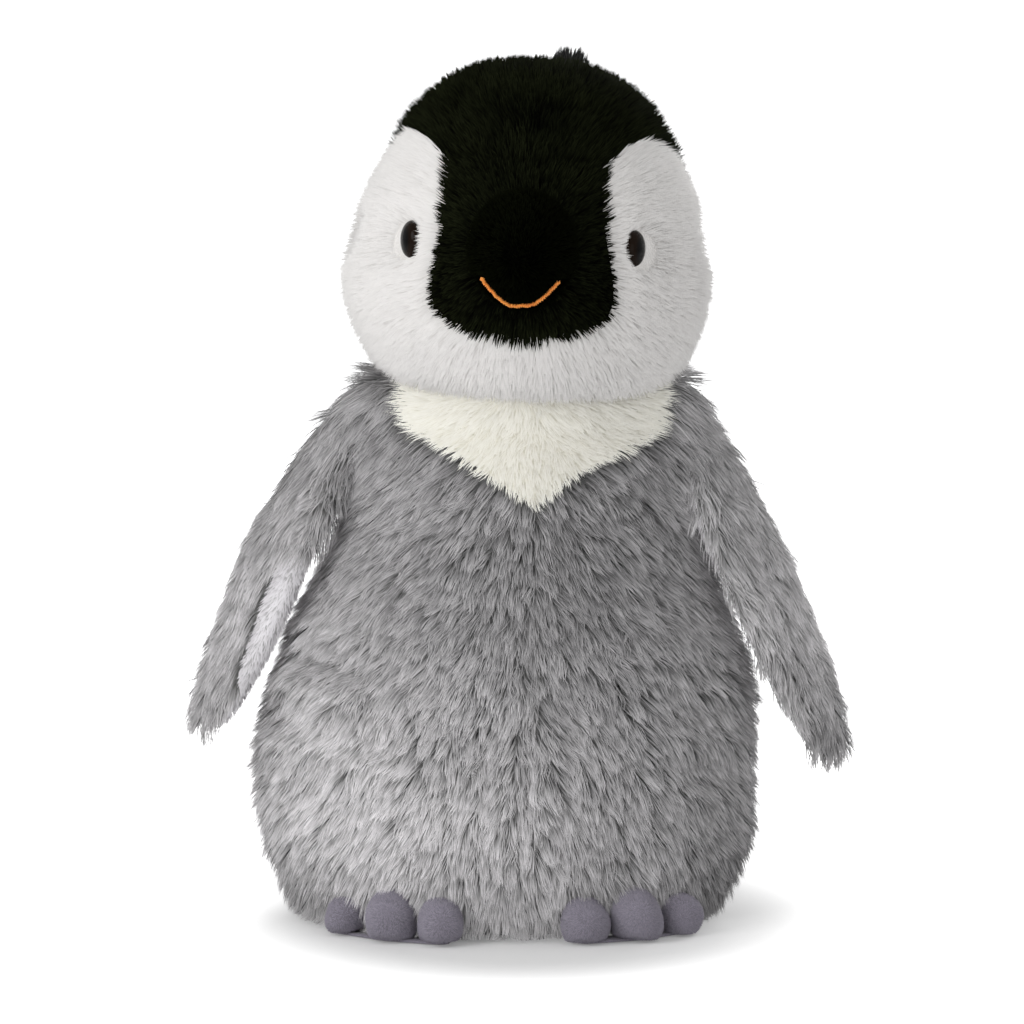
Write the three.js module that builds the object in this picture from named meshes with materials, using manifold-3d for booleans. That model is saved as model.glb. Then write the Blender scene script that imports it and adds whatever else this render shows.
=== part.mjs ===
// A standing penguin chick in plush, sewn from panels over loose filling.
// It looks along -Y. Its own left is +X and its own right is -X. Millimetres, +Z up.
// Each panel is drawn as thick as its backing and most of its pile, and each piece keeps
// a narrow seam gap to the next one.
import * as THREE from 'three';
import { mergeVertices } from 'three/addons/utils/BufferGeometryUtils.js';
import Module from 'manifold-3d';

const wasm = await Module();
wasm.setup();

// ---- Driving dimensions ----
const SEAM = 0.4;              // gap left at a seam between two panels
const BODY_PILE = 9;           // backing and pile of the body panels
const HEAD_PILE = 7;           // backing and pile of the head panels
const FILL_GAP = 0.5;          // between a panel's backing and the filling
const BODY_TOP = 183;          // neck plane of the body
const HEAD_BOTTOM = 185.2;     // neck plane of the head
const BASE_THICK = 4;          // sewn-in base panel
const BIB_BACK = -11;           // the bib ends this far in front of the middle
const BELLY_DEPTH = 0.83;      // front depth of the body over its half width
const BACK_DEPTH = 0.8;        // back depth of the body over its half width
const FACE_DEPTH = 0.97;       // the same two ratios for the head
const NAPE_DEPTH = 0.92;
const HEAD_CENTRE = [1.8, -3]; // where the head stands on the body
const HEAD_TURN = -3;          // degrees about the neck, towards the toy's right
const HEAD_ROLL = 2.2;         // degrees, towards the toy's left shoulder
const BODY_TURN = 5;           // degrees that the front seam is turned by
const HIP_SHIFT = -5.5;        // how far the hips stand to the toy's right
const CHEST_SHIFT = 2;         // and the chest to its left
const FLIPPER_LENGTH = 116;
const FLIPPER_THICK = 11;
const FLIPPER_YAW = 24;        // degrees that the flipper's flat side is turned to the front
const SHOULDERS = {            // where each flipper is sewn on, and the degrees that it stands out
  left: { sign: 1, at: [61.5, -3, 168], swing: 23 },
  right: { sign: -1, at: [-61, -3, 171], swing: 24 },
};
const TOE_WIDTH = 16.6;
const TOE_LENGTH = 22;
const TOE_HEIGHT = 16.5;
const SOLE_THICK = 1;
const EYE_RADIUS = 6.2;
const EYE_SPACING = 38.3;      // from the centre seam to each eye
const EYE_HEIGHT = 234.8;
const EYE_YAW = 40.6;          // degrees that an eye looks outwards
const EYE_LEVEL_WIDTH = 56.7;  // half width of the head where the eyes sit
const EYE_SINK = 5;            // depth of the pile around an eye
const SHANK_RADIUS = 1.3;
const BEAK = { y: -60, z: 232.5, halfWidth: 16, depth: 19, halfHeight: 18, back: -53 };
const SMILE = { low: 217.5, rise: 7.2, halfWidth: 12.6, pipe: 0.9 };
const TAIL = { root: 40, tip: 22, length: 36, thick: 12, height: 15, y: 49.6, droop: 8, clear: 2.7 };
const FRONT_SHIFT = -2.0;      // centres the whole toy front to back over the origin

const RAD = Math.PI / 180;
const FAR = 400;               // beyond every surface of the toy
const PAST = 20;               // how far a form runs on past an open end

// ---- Finishes ----
const finish = (colour, roughness) => new THREE.MeshStandardMaterial({ color: colour, roughness, metalness: 0 });
const FINISHES = {
  greyShag: () => finish(0x8f9094, 0.95),
  blackPile: () => finish(0x17170f, 0.95),
  whitePile: () => finish(0xe9e7e3, 0.95),
  ivoryPile: () => finish(0xece7d2, 0.95),
  beakPlush: () => finish(0x0f0f0e, 0.8),
  orangeCord: () => finish(0xd9782a, 0.7),
  eyePlastic: () => finish(0x0b0806, 0.12),
  washerPlastic: () => finish(0xdedede, 0.5),
  liningPlush: () => finish(0xd8d3c8, 0.95),
  toeVelour: () => finish(0x77708a, 0.95),
  baseCloth: () => finish(0x77787c, 0.95),
  filling: () => finish(0xf3f3f1, 1),
  beanCloth: () => finish(0xd9d6cc, 0.95),
  labelTape: () => finish(0xf4f2ee, 0.8),
};

// ---- Solids ----
// Merges a geometry's shared corners, drops collapsed triangles and makes a solid of it.
function toSolid(geometry) {
  const bare = geometry.clone();
  bare.deleteAttribute('normal');
  bare.deleteAttribute('uv');
  const merged = mergeVertices(bare, 1e-4);
  const corners = merged.index.array;
  const kept = [];
  for (let i = 0; i < corners.length; i += 3) {
    const [a, b, c] = [corners[i], corners[i + 1], corners[i + 2]];
    if (a !== b && b !== c && c !== a) kept.push(a, b, c);
  }
  return new wasm.Manifold(new wasm.Mesh({
    numProp: 3,
    vertProperties: Float32Array.from(merged.attributes.position.array),
    triVerts: Uint32Array.from(kept),
  }));
}

function toGeometry(solid) {
  const mesh = solid.getMesh();
  const geometry = new THREE.BufferGeometry();
  geometry.setAttribute('position', new THREE.BufferAttribute(Float32Array.from(mesh.vertProperties), 3));
  geometry.setIndex(new THREE.BufferAttribute(Uint32Array.from(mesh.triVerts), 1));
  return geometry;
}

function piece(group, name, material, solid) {
  const mesh = new THREE.Mesh(toGeometry(solid), material());
  mesh.name = name;
  group.add(mesh);
  return mesh;
}

function block(low, high) {
  const size = high.map((value, i) => value - low[i]);
  const box = new THREE.BoxGeometry(...size);
  box.translate(...low.map((value, i) => value + size[i] / 2));
  return toSolid(box);
}

// Moves each point of an outline along its own normal; a positive distance is to the right
// of the direction in which the points run.
function offsetLine(points, distance, closed) {
  const last = points.length - 1;
  return points.map((point, i) => {
    const before = points[closed && i === 0 ? last : Math.max(i - 1, 0)];
    const after = points[closed && i === last ? 0 : Math.min(i + 1, last)];
    const along = after.clone().sub(before).normalize();
    return new THREE.Vector2(point.x + along.y * distance, point.y - along.x * distance);
  });
}

const toPoints = (pairs) => pairs.map(([x, y]) => new THREE.Vector2(x, y));
const smoothLine = (pairs, steps) => new THREE.SplineCurve(toPoints(pairs)).getPoints(steps);

// A side wall lathed about Z, closed flat at both ends, then squeezed front and back.
function sewnForm(wall, { segments, front, back, shiftAt }) {
  const profile = [new THREE.Vector2(0, wall[0].y), ...wall, new THREE.Vector2(0, wall.at(-1).y)];
  const geometry = new THREE.LatheGeometry(profile, segments).rotateX(Math.PI / 2);
  const place = geometry.attributes.position;
  for (let i = 0; i < place.count; i += 1) {
    const depth = place.getY(i) < 0 ? front : back;
    place.setY(i, place.getY(i) * depth);
    place.setX(i, place.getX(i) + shiftAt(place.getZ(i)));
  }
  return toSolid(geometry);
}

// An outline in the X-Z plane, drawn as seen from the front, pushed from one depth to another.
function frontPrism(points, fromY, toY) {
  const geometry = new THREE.ExtrudeGeometry(new THREE.Shape(points), { depth: toY - fromY, bevelEnabled: false });
  geometry.rotateX(Math.PI / 2).translate(0, toY, 0);
  return toSolid(geometry);
}

// An outline in the Y-Z plane, pushed through the toy from side to side.
function sidePrism(points) {
  const geometry = new THREE.ExtrudeGeometry(new THREE.Shape(points), { depth: 2 * FAR, bevelEnabled: false });
  geometry.rotateX(Math.PI / 2).rotateZ(Math.PI / 2).translate(-FAR, 0, 0);
  return toSolid(geometry);
}

const smoothStep = (low, high, value) => THREE.MathUtils.smoothstep(value, low, high);
const mirrorSides = [['left', 1], ['right', -1]];

// ---- Body: two belly panels, two back panels, a bib and a base over the filling ----
const BODY_WALL = smoothLine([
  [64, 0], [71, 7], [76, 16], [80, 32], [80.5, 52], [79.5, 68], [76, 82], [70, 98], [62, 118], [58, 136],
  [54.5, 154], [50, 169], [42, BODY_TOP],
], 13);
const bodyForm = {
  segments: 28,
  front: BELLY_DEPTH,
  back: BACK_DEPTH,
  shiftAt: (z) => THREE.MathUtils.lerp(HIP_SHIFT, CHEST_SHIFT, smoothStep(80, 150, z)),
};

// The same form, smaller or larger by a distance all round, and open past both ends.
function bodyGrown(distance) {
  const wall = offsetLine(BODY_WALL, distance, false);
  wall.unshift(new THREE.Vector2(wall[0].x, -PAST));
  wall.push(new THREE.Vector2(wall.at(-1).x, BODY_TOP + PAST));
  return sewnForm(wall, bodyForm);
}

function bibOutline(margin) {
  const lower = smoothLine([[-47, 176], [-34, 168], [-21, 162], [-6, 152.5], [4, 145.5]], 8);
  const upper = smoothLine([[4, 145.5], [13, 154.5], [30, 161.5], [49, 170]], 6);
  const corners = toPoints([[49, BODY_TOP + 9], [-47, BODY_TOP + 9]]);
  return offsetLine([...lower, ...upper.slice(1), ...corners], margin, true);
}

function buildBody(group) {
  const slab = block([-FAR, -FAR, BASE_THICK + SEAM], [FAR, FAR, BODY_TOP]);
  const outer = sewnForm(BODY_WALL, bodyForm);
  const shell = outer.subtract(bodyGrown(-BODY_PILE)).intersect(slab);
  const bib = frontPrism(bibOutline(SEAM), -FAR, BIB_BACK);
  for (const [side, sign] of mirrorSides) {
    const inner = SEAM / 2;
    const xs = sign > 0 ? [inner, FAR] : [-FAR, -inner];
    const front = block([xs[0], -FAR, -FAR], [xs[1], -inner, FAR]).rotate([0, 0, BODY_TURN]);
    const rear = block([xs[0], inner, -FAR], [xs[1], FAR, FAR]).rotate([0, 0, BODY_TURN]);
    piece(group, `belly_panel_${side}`, FINISHES.greyShag, shell.intersect(front).subtract(bib));
    piece(group, `back_panel_${side}`, FINISHES.greyShag, shell.intersect(rear).subtract(bib));
  }
  piece(group, 'bib', FINISHES.ivoryPile, shell.intersect(frontPrism(bibOutline(0), -FAR, BIB_BACK - SEAM)));

  const baseSlab = block([-FAR, -FAR, 0], [FAR, FAR, BASE_THICK]);
  piece(group, 'base_panel', FINISHES.baseCloth, outer.intersect(baseSlab));

  const pouchTop = BASE_THICK + 17;
  const pouch = smoothLine([[42, BASE_THICK + SEAM], [48, BASE_THICK + 7], [42, pouchTop]], 8);
  piece(group, 'bean_pouch', FINISHES.beanCloth, sewnForm(pouch, bodyForm));
  const fillSlab = block([-FAR, -FAR, pouchTop + FILL_GAP], [FAR, FAR, BODY_TOP - FILL_GAP]);
  piece(group, 'body_filling', FINISHES.filling, bodyGrown(-BODY_PILE - FILL_GAP).intersect(fillSlab));
}

// ---- Feet: three stuffed toes over one flat sole on each side ----
const TOES = {
  left: [[22, -60, 2], [38.5, -54, -18], [52.5, -41.5, -40]],
  right: [[-27, -61.5, 0], [-43.5, -55, 14], [-58, -41.5, 38]],
};
const TOE_NAMES = ['inner', 'middle', 'outer'];

// A toe's rounded form, cut flat below, and pointing away from the body.
function toeForm([x, y, heading], grow, low) {
  const toe = new THREE.SphereGeometry(0.5, 14, 8).rotateX(Math.PI / 2);
  toe.scale(TOE_WIDTH + grow, TOE_LENGTH + grow, TOE_HEIGHT * 1.12);
  toe.rotateZ(-heading * RAD).translate(x, y, TOE_HEIGHT * 0.44);
  return toSolid(toe).intersect(block([-FAR, -FAR, low], [FAR, FAR, FAR]));
}

function buildFeet(group) {
  const clearance = bodyGrown(SEAM);
  for (const [side] of mirrorSides) {
    let sole = null;
    TOES[side].forEach((toe, i) => {
      const form = toeForm(toe, 0, SOLE_THICK + SEAM).subtract(clearance);
      piece(group, `toe_${TOE_NAMES[i]}_${side}`, FINISHES.toeVelour, form);
      const pad = new THREE.CylinderGeometry(0.5, 0.5, SOLE_THICK, 14).rotateX(Math.PI / 2);
      pad.scale(TOE_WIDTH + 5, TOE_LENGTH - 2, 1).rotateZ(-toe[2] * RAD);
      const footprint = toSolid(pad.translate(toe[0], toe[1], SOLE_THICK / 2));
      sole = sole ? sole.add(footprint) : footprint;
    });
    piece(group, `sole_${side}`, FINISHES.toeVelour, sole.subtract(clearance));
  }
}

// ---- Tail: a short wedge of two panels on the back seam ----
function buildTail(group) {
  const [root, tip, end] = [TAIL.root / 2, TAIL.tip / 2, TAIL.length];
  const sides = smoothLine([
    [root, 12], [tip + 3, end - 10], [tip, end - 4], [0, end], [-tip, end - 4], [-tip - 3, end - 10], [-root, 12],
  ], 8);
  const outline = [...toPoints([[-root, 0], [root, 0]]), ...sides];
  const wedge = new THREE.ExtrudeGeometry(new THREE.Shape(outline), {
    depth: 2,
    bevelThickness: TAIL.thick / 2 - 1,
    bevelSize: 4,
    bevelOffset: -4,
    bevelSegments: 3,
  });
  const place = [HIP_SHIFT, TAIL.y, TAIL.height];
  wedge.translate(0, 0, -1).rotateX(-TAIL.droop * RAD).translate(...place);
  const tail = toSolid(wedge).subtract(bodyGrown(TAIL.clear));
  const upper = block([-FAR, -FAR, SEAM / 2], [FAR, FAR, FAR]).rotate([-TAIL.droop, 0, 0]);
  const lower = block([-FAR, -FAR, -FAR], [FAR, FAR, -SEAM / 2]).rotate([-TAIL.droop, 0, 0]);
  piece(group, 'tail_top', FINISHES.greyShag, tail.intersect(upper.translate(place)));
  piece(group, 'tail_underside', FINISHES.greyShag, tail.intersect(lower.translate(place)));
}

// A blank fabric tab, sewn in at the back of the toy's right hip.
function buildLabel(group) {
  const tab = new THREE.BoxGeometry(0.8, 16, 11);
  const label = new THREE.Mesh(tab, FINISHES.labelTape());
  label.name = 'care_label';
  label.rotation.z = 34 * RAD;
  label.position.set(-62, 62, 24);
  group.add(label);
}

// ---- Head: a hood of two crown panels, a face mask, two cheeks, a beak and two eyes ----
const HEAD_WALL = smoothLine([
  [43, HEAD_BOTTOM], [49, 190], [53.5, 196], [57.5, 206], [59, 218], [57.8, 230.5], [54, 243.5], [49, 255],
  [43.2, 265], [38, 273.5], [31, 282], [21, 287.8], [4, 290.5],
], 13);
const headForm = { segments: 28, front: FACE_DEPTH, back: NAPE_DEPTH, shiftAt: () => 0 };

function headGrown(distance) {
  const wall = offsetLine(HEAD_WALL, distance, false);
  wall.unshift(new THREE.Vector2(wall[0].x, HEAD_BOTTOM - PAST));
  return sewnForm(wall, headForm);
}

// The black field as seen from the front: a mask that narrows between the cheeks and then
// spreads over them into the crown.
function hoodOutline(margin) {
  const edge = smoothLine([
    [0, 203.5], [17, 206], [31, 211.5], [29, 226], [26.8, 240], [26.4, 253], [29.5, 263], [40, 268.5],
  ], 16);
  const other = edge.slice(1).reverse().map((point) => new THREE.Vector2(-point.x, point.y));
  const top = toPoints([[40, HEAD_WALL.at(-1).y + 10], [-40, HEAD_WALL.at(-1).y + 10]]);
  return offsetLine([...edge, ...top, ...other], margin, true);
}

// The white field as seen from the side: from the chin to a rounded top behind the eye.
function cheekOutline(margin) {
  const rear = smoothLine([[20, HEAD_BOTTOM - 12], [25, 210], [23, 232], [14, 250], [-2, 260.5], [-20, 267.5], [-45, 262]], 14);
  const front = toPoints([[-90, 262], [-90, HEAD_BOTTOM - 12]]);
  return offsetLine([...rear, ...front], margin, true);
}

function ellipsoid(centre, radii, across, down) {
  return toSolid(new THREE.SphereGeometry(1, across, down).rotateX(Math.PI / 2).scale(...radii).translate(...centre));
}

// The mouth line: a shallow curve that rises to both sides, lying on the beak.
function smilePoint(x, grow) {
  const z = SMILE.low + SMILE.rise * (x / SMILE.halfWidth) ** 2;
  const side = x / BEAK.halfWidth;
  const up = (z - BEAK.z) / BEAK.halfHeight;
  return new THREE.Vector3(x, BEAK.y - (BEAK.depth + grow) * Math.sqrt(1 - side * side - up * up), z);
}

function buildBeak(group) {
  const radii = [BEAK.halfWidth, BEAK.depth, BEAK.halfHeight];
  const ball = ellipsoid([0, BEAK.y, BEAK.z], radii, 18, 12);
  const front = ball.intersect(block([-FAR, -FAR, -FAR], [FAR, BEAK.back, FAR]));
  const reach = BEAK.halfWidth * 1.3;
  const line = [];
  for (let i = 0; i <= 12; i += 1) {
    const x = THREE.MathUtils.lerp(-reach, reach, i / 12);
    line.push(new THREE.Vector2(x, SMILE.low + SMILE.rise * (x / SMILE.halfWidth) ** 2));
  }
  const below = [...offsetLine(line, SEAM / 2, false), ...toPoints([[reach, 190], [-reach, 190]])];
  const above = [...offsetLine(line, -SEAM / 2, false), ...toPoints([[reach, 265], [-reach, 265]])];
  const path = new THREE.CatmullRomCurve3([-1, -0.66, -0.33, 0, 0.33, 0.66, 1].map(
    (t) => smilePoint(t * SMILE.halfWidth, 0),
  ));
  const pipe = (radius, steps) => {
    const section = new THREE.Shape().absarc(0, 0, radius, 0, 2 * Math.PI);
    return toSolid(new THREE.ExtrudeGeometry(section, { steps, extrudePath: path, curveSegments: 4 }));
  };
  const groove = pipe(SMILE.pipe + SEAM, 12);
  piece(group, 'beak_upper', FINISHES.beakPlush, front.intersect(frontPrism(above, -FAR, 0)).subtract(groove));
  piece(group, 'beak_lower', FINISHES.beakPlush, front.intersect(frontPrism(below, -FAR, 0)).subtract(groove));
  piece(group, 'mouth_piping', FINISHES.orangeCord, pipe(SMILE.pipe, 12));
}

// Where an eye sits on the head's surface, and how far it looks outwards.
function eyePlace(sign) {
  const x = EYE_SPACING * sign;
  const y = -EYE_LEVEL_WIDTH * FACE_DEPTH * Math.sqrt(1 - (EYE_SPACING / EYE_LEVEL_WIDTH) ** 2);
  return { position: [x, y, EYE_HEIGHT], yaw: EYE_YAW * sign };
}

// Turns a form lathed about Z so that it looks out of the head where an eye sits.
function facing(geometry, { position, yaw }) {
  return geometry.rotateX(Math.PI / 2).rotateZ(yaw * RAD).translate(...position);
}

const lathed = (pairs, segments) => new THREE.LatheGeometry(toPoints(pairs), segments).rotateX(Math.PI / 2);

function eyeForm() {
  const dome = new THREE.EllipseCurve(0, -EYE_SINK + 1, EYE_RADIUS, 4.4, 0, Math.PI / 2).getPoints(4);
  const stalk = [[0, -12], [SHANK_RADIUS, -12], [SHANK_RADIUS, -EYE_SINK + 0.2], [EYE_RADIUS - 0.6, -EYE_SINK + 0.2]];
  return lathed([...stalk, ...dome.slice(0, -1).map((p) => [p.x, p.y]), [0, -EYE_SINK + 5.4]], 14);
}

function eyeSocket() {
  const wide = EYE_RADIUS + SEAM;
  const thin = SHANK_RADIUS + SEAM;
  return lathed([[0, -20], [thin, -20], [thin, -EYE_SINK], [wide, -EYE_SINK], [wide, 10], [0, 10]], 14);
}

function eyeWasher() {
  const low = -HEAD_PILE - 4;
  const bore = SHANK_RADIUS + SEAM;
  return lathed([[bore, low], [7, low], [7, low + 1.2], [bore, low + 1.2], [bore, low]], 14);
}

function buildHead(group) {
  const outer = sewnForm(HEAD_WALL, headForm);
  const sockets = mirrorSides.map(([, sign]) => toSolid(facing(eyeSocket(), eyePlace(sign))));
  const beakHole = ellipsoid(
    [0, BEAK.y, BEAK.z],
    [BEAK.halfWidth + SEAM, BEAK.depth + SEAM, BEAK.halfHeight + SEAM],
    18,
    12,
  );
  const shell = outer.subtract(headGrown(-HEAD_PILE)).subtract(beakHole);
  const hood = frontPrism(hoodOutline(0), -FAR, 0);
  const hoodGap = frontPrism(hoodOutline(SEAM), -FAR, 1);
  const cheeks = sidePrism(cheekOutline(0));
  const cheekGap = sidePrism(cheekOutline(SEAM));
  const maskTop = 259;
  const maskSlab = block([-FAR, -FAR, -FAR], [FAR, FAR, maskTop]);
  const browSlab = block([-FAR, -FAR, maskTop + SEAM], [FAR, FAR, FAR]);
  piece(group, 'face_mask', FINISHES.blackPile, shell.intersect(hood).intersect(maskSlab));
  const crown = shell.subtract(cheekGap).add(shell.intersect(hood).intersect(browSlab));
  const maskGap = frontPrism(hoodOutline(SEAM), -FAR, 0).intersect(block([-FAR, -FAR, 0], [FAR, 0, maskTop + SEAM]));
  mirrorSides.forEach(([side, sign], i) => {
    const inner = SEAM / 2;
    const xs = sign > 0 ? [inner, FAR] : [-FAR, -inner];
    const half = block([xs[0], -FAR, -FAR], [xs[1], FAR, FAR]);
    const cheek = shell.intersect(cheeks).subtract(hoodGap).subtract(sockets[i]);
    piece(group, `crown_${side}`, FINISHES.blackPile, crown.intersect(half).subtract(maskGap));
    piece(group, `cheek_${side}`, FINISHES.whitePile, cheek.intersect(half));
    piece(group, `eye_${side}`, FINISHES.eyePlastic, toSolid(facing(eyeForm(), eyePlace(sign))));
    piece(group, `eye_washer_${side}`, FINISHES.washerPlastic, toSolid(facing(eyeWasher(), eyePlace(sign))));
  });
  buildBeak(group);

  const rooms = mirrorSides.map(([, sign]) => {
    const room = new THREE.CylinderGeometry(8, 8, 10, 10);
    return toSolid(facing(room.rotateX(Math.PI / 2).translate(0, 0, -9.5), eyePlace(sign)));
  });
  const fillSlab = block([-FAR, -FAR, HEAD_BOTTOM + FILL_GAP], [FAR, FAR, FAR]);
  const filling = headGrown(-HEAD_PILE - FILL_GAP).intersect(fillSlab).subtract(beakHole);
  piece(group, 'head_filling', FINISHES.filling, filling.subtract(rooms[0]).subtract(rooms[1]));
}

// ---- Flippers: an outer panel and a smooth lining over a thin filling ----
function flipperForm(inset) {
  const edge = smoothLine([
    [12, -2], [17, -22], [19.5, -46], [18.5, -72], [14.5, -95], [8, -FLIPPER_LENGTH + 4], [0, -FLIPPER_LENGTH],
  ], 12);
  const other = edge.slice(0, -1).reverse().map((point) => new THREE.Vector2(-point.x * 0.92, point.y));
  const outline = [new THREE.Vector2(6, 2), ...edge, ...other, new THREE.Vector2(-6, 2)];
  const bevel = FLIPPER_THICK / 2 - 1;
  const geometry = new THREE.ExtrudeGeometry(new THREE.Shape(outline), {
    depth: 2,
    bevelThickness: bevel - inset,
    bevelSize: 5,
    bevelOffset: -5 - inset,
    bevelSegments: 3,
  });
  return toSolid(geometry.translate(0, 0, -1).rotateX(Math.PI / 2).rotateZ(Math.PI / 2));
}

function buildFlipper(group, side, { sign, at, swing }) {
  const arm = new THREE.Group();
  const whole = flipperForm(0);
  const core = flipperForm(2.4);
  const layer = 1.2;
  const outward = sign > 0 ? [layer, FAR] : [-FAR, -layer];
  const inward = sign > 0 ? [-FAR, -layer] : [layer, FAR];
  const between = (xs) => block([xs[0], -FAR, -FAR], [xs[1], FAR, FAR]);
  piece(arm, `flipper_outer_${side}`, FINISHES.greyShag, whole.intersect(between(outward)));
  piece(arm, `flipper_lining_${side}`, FINISHES.liningPlush, whole.intersect(between(inward)));
  const thin = layer - SEAM;
  piece(arm, `flipper_filling_${side}`, FINISHES.filling, core.intersect(between([-thin, thin])));
  arm.rotation.set(0, -sign * swing * RAD, -sign * FLIPPER_YAW * RAD, 'YXZ');
  arm.position.set(...at);
  group.add(arm);
}

// ---- The whole toy ----
const penguin = new THREE.Group();
const torso = new THREE.Group();
buildBody(torso);
buildFeet(torso);
buildTail(torso);
buildLabel(torso);
penguin.add(torso);

const head = new THREE.Group();
buildHead(head);
head.position.set(HEAD_CENTRE[0], HEAD_CENTRE[1], HEAD_BOTTOM);
head.rotation.set(0, HEAD_ROLL * RAD, HEAD_TURN * RAD, 'YXZ');
head.children.forEach((mesh) => mesh.geometry.translate(0, 0, -HEAD_BOTTOM));
penguin.add(head);

for (const [side, shoulder] of Object.entries(SHOULDERS)) buildFlipper(penguin, side, shoulder);
penguin.position.y = FRONT_SHIFT;

export default penguin;
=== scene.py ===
# %% [markdown]
# A plush penguin chick that sits on a pale floor. It is sewn from panels of long silver shag and of
# short black, white and ivory pile, over loose filling and a bag of beans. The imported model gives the
# place of every panel. This lesson grows the soft skins and the pile around it.

# %% Open the frame
import math
import bmesh
import bpy
import numpy as np
from mathutils import Euler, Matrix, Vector
from mathutils.bvhtree import BVHTree
from mathutils.kdtree import KDTree


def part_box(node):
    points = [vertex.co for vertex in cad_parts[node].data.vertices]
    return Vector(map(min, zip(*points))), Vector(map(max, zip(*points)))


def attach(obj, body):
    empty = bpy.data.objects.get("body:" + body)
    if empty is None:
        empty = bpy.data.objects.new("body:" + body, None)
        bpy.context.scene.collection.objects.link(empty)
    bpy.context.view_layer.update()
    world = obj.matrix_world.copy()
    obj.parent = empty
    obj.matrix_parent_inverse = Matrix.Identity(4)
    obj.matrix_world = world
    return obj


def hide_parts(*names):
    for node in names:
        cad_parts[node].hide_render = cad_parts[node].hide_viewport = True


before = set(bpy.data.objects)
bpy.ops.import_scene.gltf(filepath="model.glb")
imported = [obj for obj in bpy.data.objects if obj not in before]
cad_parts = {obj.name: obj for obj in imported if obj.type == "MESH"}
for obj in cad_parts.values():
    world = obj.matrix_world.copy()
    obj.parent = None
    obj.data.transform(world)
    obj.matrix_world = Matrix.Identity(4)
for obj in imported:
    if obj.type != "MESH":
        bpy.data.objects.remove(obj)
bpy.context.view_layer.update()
MM = 0.001


def show(thing):
    """Puts an object in the scene."""
    bpy.context.scene.collection.objects.link(thing)
    return thing


# %% [markdown]
# The camera stands a little above the toy's middle and looks slightly down. It is far away and has a
# long lens, so that the shapes stay true.

# %% Camera
TILT = math.radians(7.5)
DISTANCE = 3.0
VIEW_WIDTH = 0.348
SENSOR = 36.0
LOOK_AT = Vector((-0.003, 0.0, 0.1372))


def aim(thing, target):
    thing.rotation_euler = (target - thing.location).to_track_quat("-Z", "Y").to_euler()


camera_data = bpy.data.cameras.new("camera")
camera_data.sensor_width = SENSOR
camera_data.lens = SENSOR * DISTANCE / VIEW_WIDTH
camera = show(bpy.data.objects.new("camera", camera_data))
camera.location = LOOK_AT + DISTANCE * Vector((0.0, -math.cos(TILT), math.sin(TILT)))
aim(camera, LOOK_AT)
bpy.context.scene.camera = camera
print("lens in mm:", round(camera_data.lens, 1))

# %% [markdown]
# The studio is a white paper sweep. A big soft lamp high on the left gives the toy its shape, a weak one
# fills the right side, a low one in front lights the chin and the belly, and one behind the top draws a
# light edge on the pile. The paper glows pure white to the camera away from the toy, which is painted
# light, and glows less in an oval round the toy's feet, a painted shadow shape in which the lamps' soft
# shadow shows.

# %% Lamps
LAMP_TARGET = Vector((0.0, 0.0, 0.12))
# Each lamp has its place and its width, both in metres, and its power in watts.
LAMPS = {
    "lamp_key": ((-0.95, -0.75, 0.75), 0.9, 6.6),
    "lamp_fill": ((0.9, -1.2, 0.4), 1.2, 2.0),
    "lamp_low": ((-0.3, -1.4, 0.06), 0.8, 5.3),
    "lamp_back": ((0.5, 1.0, 0.9), 1.0, 9.0),
}


def soft_lamp(name, place, size, power):
    lamp = bpy.data.lights.new(name, "AREA")
    lamp.shape = "DISK"
    lamp.size = size
    lamp.energy = power
    thing = show(bpy.data.objects.new(name, lamp))
    thing.location = place
    aim(thing, LAMP_TARGET)


for name, (place, size, power) in LAMPS.items():
    soft_lamp(name, place, size, power)
print("lamps:", ", ".join(LAMPS))

# %% White surroundings
# The sky is white to the camera, and lights the toy with only this share of that.
AMBIENT = 0.5
WHITE = (1.0, 1.0, 1.0, 1.0)
bpy.context.scene.view_settings.view_transform = "Standard"
world = bpy.data.worlds.new("studio")
bpy.context.scene.world = world
world.use_nodes = True
sky = world.node_tree
seen = sky.nodes.new("ShaderNodeLightPath")
level = sky.nodes.new("ShaderNodeMapRange")
level.inputs["To Min"].default_value = AMBIENT
level.inputs["To Max"].default_value = 1.0
sky.links.new(seen.outputs["Is Camera Ray"], level.inputs["Value"])
sky.links.new(level.outputs["Result"], sky.nodes["Background"].inputs["Strength"])
sky.nodes["Background"].inputs["Color"].default_value = WHITE

# %% Floor
FLOOR_HALF = 6.0
FLOOR_DROP = 0.2 * MM
PAPER_COLOUR = (0.8, 0.8, 0.8, 1.0)
# The painted glow is PAPER_GLOW near the toy and rises to full white between these two distances from
# the middle. PAPER_OVAL makes the dim patch, a painted shadow shape, narrower from side to side than
# from front to back.
PAPER_GLOW = 0.15
PAPER_NEAR = 0.086
PAPER_FAR = 0.165
PAPER_MIDDLE = (0.006, -0.01, 0.0)
PAPER_OVAL = (1.28, 1.0, 1.0)


def new_material(name):
    """A material, its Principled shader, its nodes and its links."""
    material = bpy.data.materials.new(name)
    material.use_nodes = True
    tree = material.node_tree
    return material, tree.nodes["Principled BSDF"], tree.nodes, tree.links


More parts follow.
